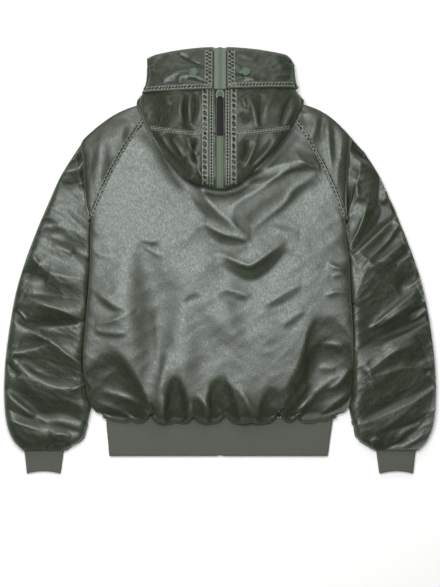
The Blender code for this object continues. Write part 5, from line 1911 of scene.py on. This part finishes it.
@dataclass
class Seams:
    """Every topstitched seam that shows, and its thread."""

    wardrobe: Wardrobe

    def bands(self) -> dict[str, list[SeamBand]]:
        """Lists the seams.

        Returns:
            The bands, by the part of the coat that they lie on.
        """
        body, hood, brim = [], [], []
        for side in Side:
            word, sign = side.word, side.value
            seam = raglan(np.linspace(0.06, 0.995, 40), side)
            body.append(SeamBand(f"raglan_topstitch_{word}", seam, 0.0105, pitch=8.6 * MM, seed=2.0 + sign))
            cross = np.array([Hood.line(CROSS_SEAM_Y, side, np.array([s]), 0.030)
                              for s in np.linspace(0, 0.985, 30)])[..., 0]
            hood.append(SeamBand(f"cross_topstitch_{word}", cross, 0.0085, pucker=1.3 * MM, height=1.1 * MM,
                                 seed=5.0 + sign))
            for place, centre, wide, low, pucker, pitch in (
                    ("inner", 0.0138, 0.0086, 0.1405, 1.3 * MM, 6.2 * MM),
                    ("outer", 0.0258, 0.0138, 0.1430, 3.4 * MM, 10.4 * MM)):
                x = sign * centre - (0.0020 if sign < 0 else 0.0)
                y = np.linspace(low, 0.3225, 40)
                line = np.stack([np.full_like(y, x), y], -1)
                hood.append(SeamBand(f"zip_topstitch_{place}_{word}", line, wide, pucker=pucker, pitch=pitch,
                                     height=2.0 * MM, rows=(0.10 * sign,), threads=(-0.80, 0.80),
                                     pit_width=0.44, skew=0.35, seed=8.0 + sign + centre * 100))
            y = np.linspace(0.3270, 0.3985, 30)
            line = np.stack([np.full_like(y, sign * 0.0215), y], -1)
            brim.append(SeamBand(f"brim_zip_topstitch_{word}", line, 0.0165, pucker=2.4 * MM, pitch=7.4 * MM,
                                 height=1.8 * MM, rows=(-0.42, 0.30), pit_width=0.30, skew=0.5,
                                 seed=14.0 + sign))
            x = np.linspace(sign * 0.0145, sign * 0.1445, 40)
            line = np.stack([x, BRIM_EDGE_Y + BRIM_TILT * x + 0.0050], -1)
            brim.append(SeamBand(f"brim_edge_topstitch_{word}", line, 0.0100, pucker=2.0 * MM,
                                 pitch=6.2 * MM, height=2.0 * MM, rows=(0.0,),
                                 threads=(-0.75, 0.75), pit_width=0.50, skew=0.9, seed=18.0 + sign))
        return {"body": body, "hood": hood, "brim": brim}

    def build(self, grounds: dict[str, Ground]) -> dict[str, list[Piece]]:
        """Makes the bands, and one piece of thread for each.

        Args:
            grounds: the cloth that they lie on, by the part of the coat.

        Returns:
            The pieces, by the part of the coat.
        """
        tree = stitch_tree()
        made = {}
        for part, bands in self.bands().items():
            made[part] = []
            for band in bands:
                piece, lines = band.build(grounds[part], self.wardrobe.seam_satin)
                thread = along_lines(band.name.replace("topstitch", "thread"), tree, lines,
                                     {"Pitch": 3.4 * MM, "Length": 2.4 * MM, "Width": 0.55 * MM,
                                      "Height": 0.55 * MM, "Material": self.wardrobe.thread})
                made[part] += [piece, thread]
        return made


# ---- zips
def tooth_tree() -> Tree:
    """Makes the geometry nodes for a zip's teeth, which stand by turns to the left and the right.

    Returns:
        The tree.
    """
    tree, given, places = row_tree("zip teeth", {"Pitch": 1.6 * MM, "Reach": 5.0 * MM,
                                                 "Thickness": 1.0 * MM})
    index = add_node(tree, "GeometryNodeInputIndex")
    odd = add_node(tree, "ShaderNodeMath", {"operation": "MODULO", 1: 2.0}, in0=index.outputs[0])
    swing = add_node(tree, "ShaderNodeMath", {"operation": "MULTIPLY_ADD", 1: 1.6 * MM, 2: -0.8 * MM},
                     in0=odd.outputs[0])
    shift = add_node(tree, "ShaderNodeCombineXYZ", X=swing.outputs[0])
    swung = add_node(tree, "GeometryNodeSetPosition", Geometry=places.outputs[0], Offset=shift.outputs[0])
    wide = add_node(tree, "ShaderNodeMath", {"operation": "MULTIPLY", 1: 0.62}, in0=given.outputs["Pitch"])
    size = add_node(tree, "ShaderNodeCombineXYZ", X=given.outputs["Reach"], Y=wide.outputs[0],
                    Z=given.outputs["Thickness"])
    bead = add_node(tree, "GeometryNodeMeshUVSphere", {"Segments": 8, "Rings": 4, "Radius": 0.56})
    finish_row(tree, given, swung, bead, size, "Y")
    return tree


def tube(name: str, path: Array, radius: float, material: Material, sides: int = 8) -> Piece:
    """Makes a round cord along a line, closed at both ends.

    Args:
        name: the piece's name.
        path: the line's points.
        radius: the cord's radius.
        material: its finish.
        sides: how many faces go round it.

    Returns:
        The object.
    """
    run = np.gradient(path, axis=0)
    run /= np.linalg.norm(run, axis=1, keepdims=True)
    second = np.cross(run, np.array([1.0, 0, 0]))
    second /= np.linalg.norm(second, axis=1, keepdims=True)
    third = np.cross(run, second)
    angles = np.arange(sides) * 2 * pi / sides
    rings = path[:, None] + radius * (np.cos(angles)[None, :, None] * second[:, None]
                                      + np.sin(angles)[None, :, None] * third[:, None])
    count = rings.shape[0] * sides
    faces = quads(len(path), sides, 0, True, ring=True)
    faces += [list(range(sides)), list(range(count - sides, count))[::-1]]
    return new_piece(name, rings.reshape(-1, 3), faces, material)


@dataclass
class Zips:
    """The hood's zip, its other face on the turned brim, and the front zip underneath."""

    wardrobe: Wardrobe

    @staticmethod
    def round_mouth(x: float, lift: float) -> Array:
        """Draws a line from the brim's edge over the hood and round its mouth.

        Args:
            x: its place across the hood.
            lift: how far above the hood's cloth it lies.

        Returns:
            The line's points.
        """
        y = np.linspace(0.3225, MOUTH_Y, 44)
        z = hood_height(np.full_like(y, x), y) + lift
        half = (z[-1] - TAPE_LOW) / 2
        turned = [[x, MOUTH_Y + lift * sin(a), TAPE_LOW + half + half * cos(a)]
                  for a in np.radians(np.linspace(12, 150, 12))]
        return np.concatenate([np.column_stack([np.full_like(y, x), y, z]), turned])

    @staticmethod
    def over_hood(x: float, lift: float) -> Array:
        """Draws a line from the hood's tip to the brim's edge.

        Args:
            x: its place across the hood.
            lift: how far above the hood's cloth it lies.

        Returns:
            The line's points.
        """
        y = np.linspace(0.1372, 0.3260, 90)
        z = hood_height(np.full_like(y, x), y) + lift
        start = [[x, 0.1352, z[0] - 0.0045], [x, 0.1358, z[0] - 0.0015]]
        return np.concatenate([start, np.column_stack([np.full_like(y, x), y, z])])

    @staticmethod
    def strip(name: str, draw: Callable[[float, float], Array], half: float, lift: float, bulge: float,
              material: Material) -> Piece:
        """Makes a tape along one of the lines above.

        Args:
            name: the piece's name.
            draw: the line, from its place and its lift.
            half: half of the tape's width.
            lift: how far above the hood's cloth its edges lie.
            bulge: how much higher its middle lies.
            material: its finish.

        Returns:
            The tape.
        """
        lines = [draw(s * half, lift + bulge * (1 - s * s)) for s in np.linspace(-1, 1, 13)]
        return shell(name, np.stack(lines, axis=1), material, thick=0.0009)

    def build(self) -> dict[str, list[Piece]]:
        """Makes the three zips, with their piping and chains.

        Returns:
            The pieces, grouped as zip tape and as zip metal.
        """
        teeth = tooth_tree()
        house = self.wardrobe
        brim = self.strip("brim_zip_tape", self.round_mouth, 0.0122, 0.0052, 0.0006, house.tape)
        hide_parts("brim_zip")
        cover = self.strip("hood_zip_tape", self.over_hood, 0.0062, -0.0006, 0.0009, house.tape)
        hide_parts("hood_zip")
        made = [brim, cover]
        for side in Side:
            sign = side.value
            made.append(tube(f"brim_zip_piping_{side.word}", self.round_mouth(sign * 0.0116, 0.0062),
                             0.00075, house.thread))
            made.append(tube(f"hood_zip_piping_{side.word}", self.over_hood(sign * 0.0066, 0.0007),
                             0.00080, house.thread))
        chain = along_lines("brim_zip_chain", teeth, [self.round_mouth(0.0, 0.0064)],
                            {"Pitch": 1.7 * MM, "Reach": 5.4 * MM, "Thickness": 1.5 * MM,
                             "Material": house.tape})
        spine = self.strip("brim_zip_spine", self.round_mouth, 0.0046, 0.0056, 0.0008, house.tape)
        back = self.strip("hood_zip_cover", self.over_hood, 0.0040, 0.0001, 0.0011, house.chain)
        low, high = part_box("front_zip")
        y = np.linspace(low.y, high.y, 60)
        grid = np.stack([np.column_stack([np.full_like(y, s * high.x), y, np.full_like(y, low.z + 0.0004)])
                         for s in np.linspace(-1, 1, 7)], axis=1)
        front = shell("front_zip_tape", grid, house.tape, up=False, thick=0.0012)
        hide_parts("front_zip")
        line = np.column_stack([np.zeros_like(y), y, np.full_like(y, low.z + 0.0002)])
        front_chain = along_lines("front_zip_chain", teeth, [line],
                                  {"Pitch": 2.2 * MM, "Reach": 5.0 * MM, "Thickness": 0.9 * MM,
                                   "Material": house.metal})
        return {"zip_tape": made + [spine, back, front], "zip_metal": [chain, front_chain]}


# ---- hardware
@dataclass
class Pull:
    """The hood slider's leather tab, folded round its wire bail and stitched."""

    wardrobe: Wardrobe
    pin: Vector
    lift: float = radians(3.6)  # how far it is tilted up
    half: float = 0.0063
    thick: float = 0.0022
    start: float = -0.0127  # the tab's two ends, from the pin
    end: float = -0.0843
    bar: float = -0.0115  # the wire's place, from the pin
    corner: float = 0.0005
    loop_half: float = 0.0042
    loop_outer: float = 0.0017
    loop_inner: float = 0.00095

    def build(self) -> list[Piece]:
        """Makes the pull's pieces.

        Returns:
            The tab, the loop round the wire, and the stitches that close it.
        """
        frame = Matrix.Translation(self.pin) @ Matrix.Rotation(-self.lift, 4, "X")
        stations = [(self.start, 0.80), (self.start - 0.0010, 0.93), (self.start - 0.004, 0.97)]
        stations += [(y, 1.0) for y in np.linspace(self.start - 0.010, self.end + 0.0026, 12)]
        stations += [(self.end + 0.0012, 0.98), (self.end + 0.0004, 0.93), (self.end, 0.84)]
        ring = []
        for x_sign, z_sign, first in ((1, 1, 0), (-1, 1, 90), (-1, -1, 180), (1, -1, 270)):
            for a in np.radians([first, first + 30, first + 60, first + 90]):
                ring.append((x_sign, z_sign, cos(a), sin(a)))
        grid = []
        for y, scale in stations:
            half = self.half * (0.965 + 0.035 * (y - self.start) / (self.end - self.start)) * scale
            high = self.thick / 2 * (0.7 if scale < 0.9 else 1.0)
            grid.append([frame @ Vector((sx * (half - self.corner) + self.corner * cx, y,
                                         sz * (high - self.corner) + self.corner * cz))
                         for sx, sz, cx, cz in ring])
        points = np.array([[list(p) for p in row] for row in grid])
        rows, columns = points.shape[:2]
        count = rows * columns
        faces = quads(rows, columns, 0, False, ring=True)
        faces += [list(range(columns))[::-1], list(range(count - columns, count))]
        tab = new_piece("hood_leather_tab", points.reshape(-1, 3), faces, self.wardrobe.leather)
        outwards(tab)
        tab.data.set_sharp_from_angle(angle=radians(50))
        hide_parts("hood_tab")
        profile = [(self.bar + radius * cos(a), radius * sin(a))
                   for radius, end in ((self.loop_outer, 150), (self.loop_inner, -150))
                   for a in np.radians(np.linspace(-end, end, 15))]
        loop_points = [frame @ Vector((x, y, z))
                       for x in (-self.loop_half, self.loop_half) for y, z in profile]
        size = len(profile)
        faces = [[i, (i + 1) % size, size + (i + 1) % size, size + i] for i in range(size)]
        faces += [[first + i, first + i + 1, first + size - 2 - i, first + size - 1 - i]
                  for first in (0, size) for i in range(size // 2 - 1)]
        loop = new_piece("hood_leather_loop", np.array([list(p) for p in loop_points]), faces,
                         self.wardrobe.leather)
        outwards(loop)
        loop.data.set_sharp_from_angle(angle=radians(40))
        y = self.start - 0.0040
        line = np.array([list(frame @ Vector((x, y, self.thick / 2)))
                         for x in np.linspace(-0.0048, 0.0048, 8)])
        stitches = along_lines("hood_tab_stitches", bpy.data.node_groups["stitch row"], [line],
                               {"Pitch": 1.9 * MM, "Length": 1.3 * MM, "Width": 0.5 * MM,
                                "Height": 0.35 * MM, "Material": self.wardrobe.leather})
        return [tab, loop, stitches]


def outwards(piece: Piece) -> None:
    """Turns a closed mesh's faces outwards.

    Args:
        piece: the object with the mesh.
    """
    work = bmesh.new()
    work.from_mesh(piece.data)
    bmesh.ops.recalc_face_normals(work, faces=work.faces)
    work.to_mesh(piece.data)
    work.free()


@dataclass
class SnapCap:
    """An enamelled snap cap: a shallow dome with a rolled rim, set on the brim."""

    name: str
    wardrobe: Wardrobe
    turns: int = 40
    profile: tuple[tuple[float, float], ...] = (  # radius and height, in millimetres
        (0.0, 1.42), (2.6, 1.38), (4.9, 1.26), (6.3, 1.12), (6.9, 1.10), (7.4, 1.22), (7.9, 1.24),
        (8.35, 1.02), (8.55, 0.60), (8.55, -0.6), (8.2, -1.3), (0.0, -1.35))

    def build(self, ground: Ground) -> Piece:
        """Turns the cap and seats it where its solid lies.

        Args:
            ground: the brim that carries it; not used.

        Returns:
            The cap.
        """
        low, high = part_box(self.name)
        centre = (low + high) / 2
        reach = 0.009
        spots = np.array([(centre.x + dx, centre.y + dy) for dx, dy in
                          ((reach, 0), (-reach, 0), (0, reach), (0, -reach))])
        z = hood_height(spots[:, 0], spots[:, 1])
        normal = Vector((-(z[0] - z[1]) / (2 * reach), -(z[2] - z[3]) / (2 * reach), 1)).normalized()
        frame = Matrix.Translation(centre) @ normal.to_track_quat("Z", "Y").to_matrix().to_4x4()
        points = [frame @ Vector((0, 0, self.profile[0][1] * MM))]
        for radius, z_mm in self.profile[1:-1]:
            points += [frame @ Vector((radius * MM * cos(a), radius * MM * sin(a), z_mm * MM))
                       for a in np.arange(self.turns) * 2 * pi / self.turns]
        points.append(frame @ Vector((0, 0, self.profile[-1][1] * MM)))
        rings = len(self.profile) - 2
        faces = quads(rings, self.turns, 1, False, ring=True)
        for i in range(self.turns):
            j = (i + 1) % self.turns
            faces.append([0, 1 + j, 1 + i])
            base = 1 + (rings - 1) * self.turns
            faces.append([len(points) - 1, base + i, base + j])
        cap = new_piece(self.name + "_cap", np.array([list(p) for p in points]), faces, self.wardrobe.enamel)
        outwards(cap)
        cap.data.set_sharp_from_angle(angle=radians(60))
        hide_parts(self.name)
        return cap


# ---- the studio
@dataclass
class Studio:
    """A plain pale floor, soft light from above and behind the head, and a camera straight overhead."""

    height: float = 3.128
    middle_y: float = -0.062
    key: float = 52.0
    fill: float = 0.19

    def build(self) -> None:
        """Makes the floor, the lights, the sky and the camera."""
        scene = bpy.context.scene
        size = 5.0
        mesh = bpy.data.meshes.new("studio_floor")
        mesh.from_pydata([(-size, -size, 0), (size, -size, 0), (size, size, 0), (-size, size, 0)], [],
                         [[0, 1, 2, 3]])
        material, _, shader = blank("matt_white_floor")
        shader.inputs["Base Color"].default_value = linear("#fbfbfa")
        shader.inputs["Roughness"].default_value = 0.9
        shader.inputs["Specular IOR Level"].default_value = 0.1
        mesh.materials.append(material)
        floor = link("studio_floor", mesh)
        self.light("key", (-0.22, 0.27, 2.15), (-0.22, 0.27, 0.0), (1.12, 1.10), self.key)
        self.light("head_end", (-0.2, 2.5, 1.7), (0.0, 0.1, 0.0), (2.4, 1.6), self.key * 0.55)
        world = bpy.data.worlds.new("studio_sky")
        world.use_nodes = True
        sky = world.node_tree.nodes["Background"]
        sky.inputs["Color"].default_value = (1.0, 1.0, 1.0, 1.0)
        sky.inputs["Strength"].default_value = self.fill
        scene.world = world
        lens = bpy.data.cameras.new("overhead")
        lens.lens, lens.sensor_width = 100.0, 36.0
        lens.clip_end = 20.0
        camera = link("overhead", lens)
        camera.location = (0.0, self.middle_y, self.height)
        scene.camera = camera
        scene.view_settings.view_transform = "Standard"

    @staticmethod
    def light(name: str, place: tuple[float, float, float], aim: tuple[float, float, float],
              size: tuple[float, float], power: float) -> None:
        """Hangs one soft box.

        Args:
            name: the lamp's name.
            place: where it hangs.
            aim: what it faces.
            size: its width and height.
            power: its power in watts.
        """
        lamp = bpy.data.lights.new(name, "AREA")
        lamp.shape = "RECTANGLE"
        lamp.size, lamp.size_y = size
        lamp.energy = power
        holder = link(name, lamp)
        holder.location = place
        holder.rotation_euler = (Vector(place) - Vector(aim)).to_track_quat("Z", "Y").to_euler()


# ---- the whole parka
def settle(pieces: list[Piece], body: str) -> None:
    """Lets pieces ride on a body and reports each.

    Args:
        pieces: the pieces.
        body: the body.
    """
    for piece in pieces:
        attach(piece, body)
        LOG.info("%s: %d faces", piece.name, len(piece.data.polygons))


def main() -> None:
    """Builds the coat in order, from what lies lowest."""
    logging.basicConfig(level=logging.INFO, format="%(message)s")
    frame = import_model()
    Studio().build()
    house = Wardrobe.build()

    body = Body(house).build()
    sleeves = Sleeve(house, Side.LEFT, LEFT_CAP_CREASES, LEFT_ARM_CREASES, bow=0.0140).build()
    sleeves += Sleeve(house, Side.RIGHT, RIGHT_CAP_CREASES, RIGHT_ARM_CREASES, corner=0.0070,
                      outer_sag=0.0210).build()
    hood = Hood(house).build()
    brims = {Side.LEFT: Brim(house, Side.LEFT), Side.RIGHT: Brim(house, Side.RIGHT, corner=0.0150)}
    brim_pieces = {side: brim.build() for side, brim in brims.items()}

    crown = [hood[f"{part}_{side.word}"] for part in ("tip", "crown") for side in Side]
    grounds = {"body": Ground([body[0], sleeves[0], sleeves[2]]), "hood": Ground(crown),
               "brim": Ground(list(brim_pieces.values()))}
    seams = Seams(house).build(grounds)

    hem = RibBand("hem_rib_band", "hem_rib", house,
                  [(-372.2, -213, 207.5), (-350, -214.5, 210), (-325, -217, 213.5), (-299.6, -219, 217)],
                  (0.90, 0.080), dent=0.0022, slit=2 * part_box("front_zip")[1].x + 0.0004).build()
    cuffs = []
    for side in Side:
        ends = [(-406.2, 304, 370.5), (-390, 302, 372), (-372, 299.5, 374), (-354.6, 297.5, 377)]
        rows = [(y, *sorted((side.value * a, side.value * b))) for y, a, b in ends]
        cuffs.append(RibBand(f"cuff_band_{side.word}", f"cuff_{side.word}", house, rows, (0.175, 0.060),
                             bow=0.0050).build())

    zips = Zips(house).build()
    pin = Vector(next(j for j in frame["joints"] if j["name"] == "hood_pull_hinge")["pos_m"])
    tab = Pull(house, pin).build()
    snaps = [SnapCap(name, house).build(grounds["brim"]) for name in ("snap_left", "snap_right")]

    Hood.declare(hood, seams["hood"])
    for side in Side:
        brims[side].declare(brim_pieces[side], seams["brim"])

    settle(body + sleeves + list(hood.values()) + list(brim_pieces.values()), COAT)
    for group in seams.values():
        settle(group, COAT)
    settle([hem] + cuffs, COAT)
    for slot, group in zips.items():
        settle(group, COAT)
    settle(tab, "hood_puller")
    settle(snaps, COAT)
    for name, material in (("hood_slider", house.chain), ("hood_bail", house.slider),
                           ("front_slider", house.metal), ("front_pull", house.metal)):
        node = frame["nodes"][name]
        node.data.materials.clear()
        node.data.materials.append(material)


if __name__ == "__main__":
    main()
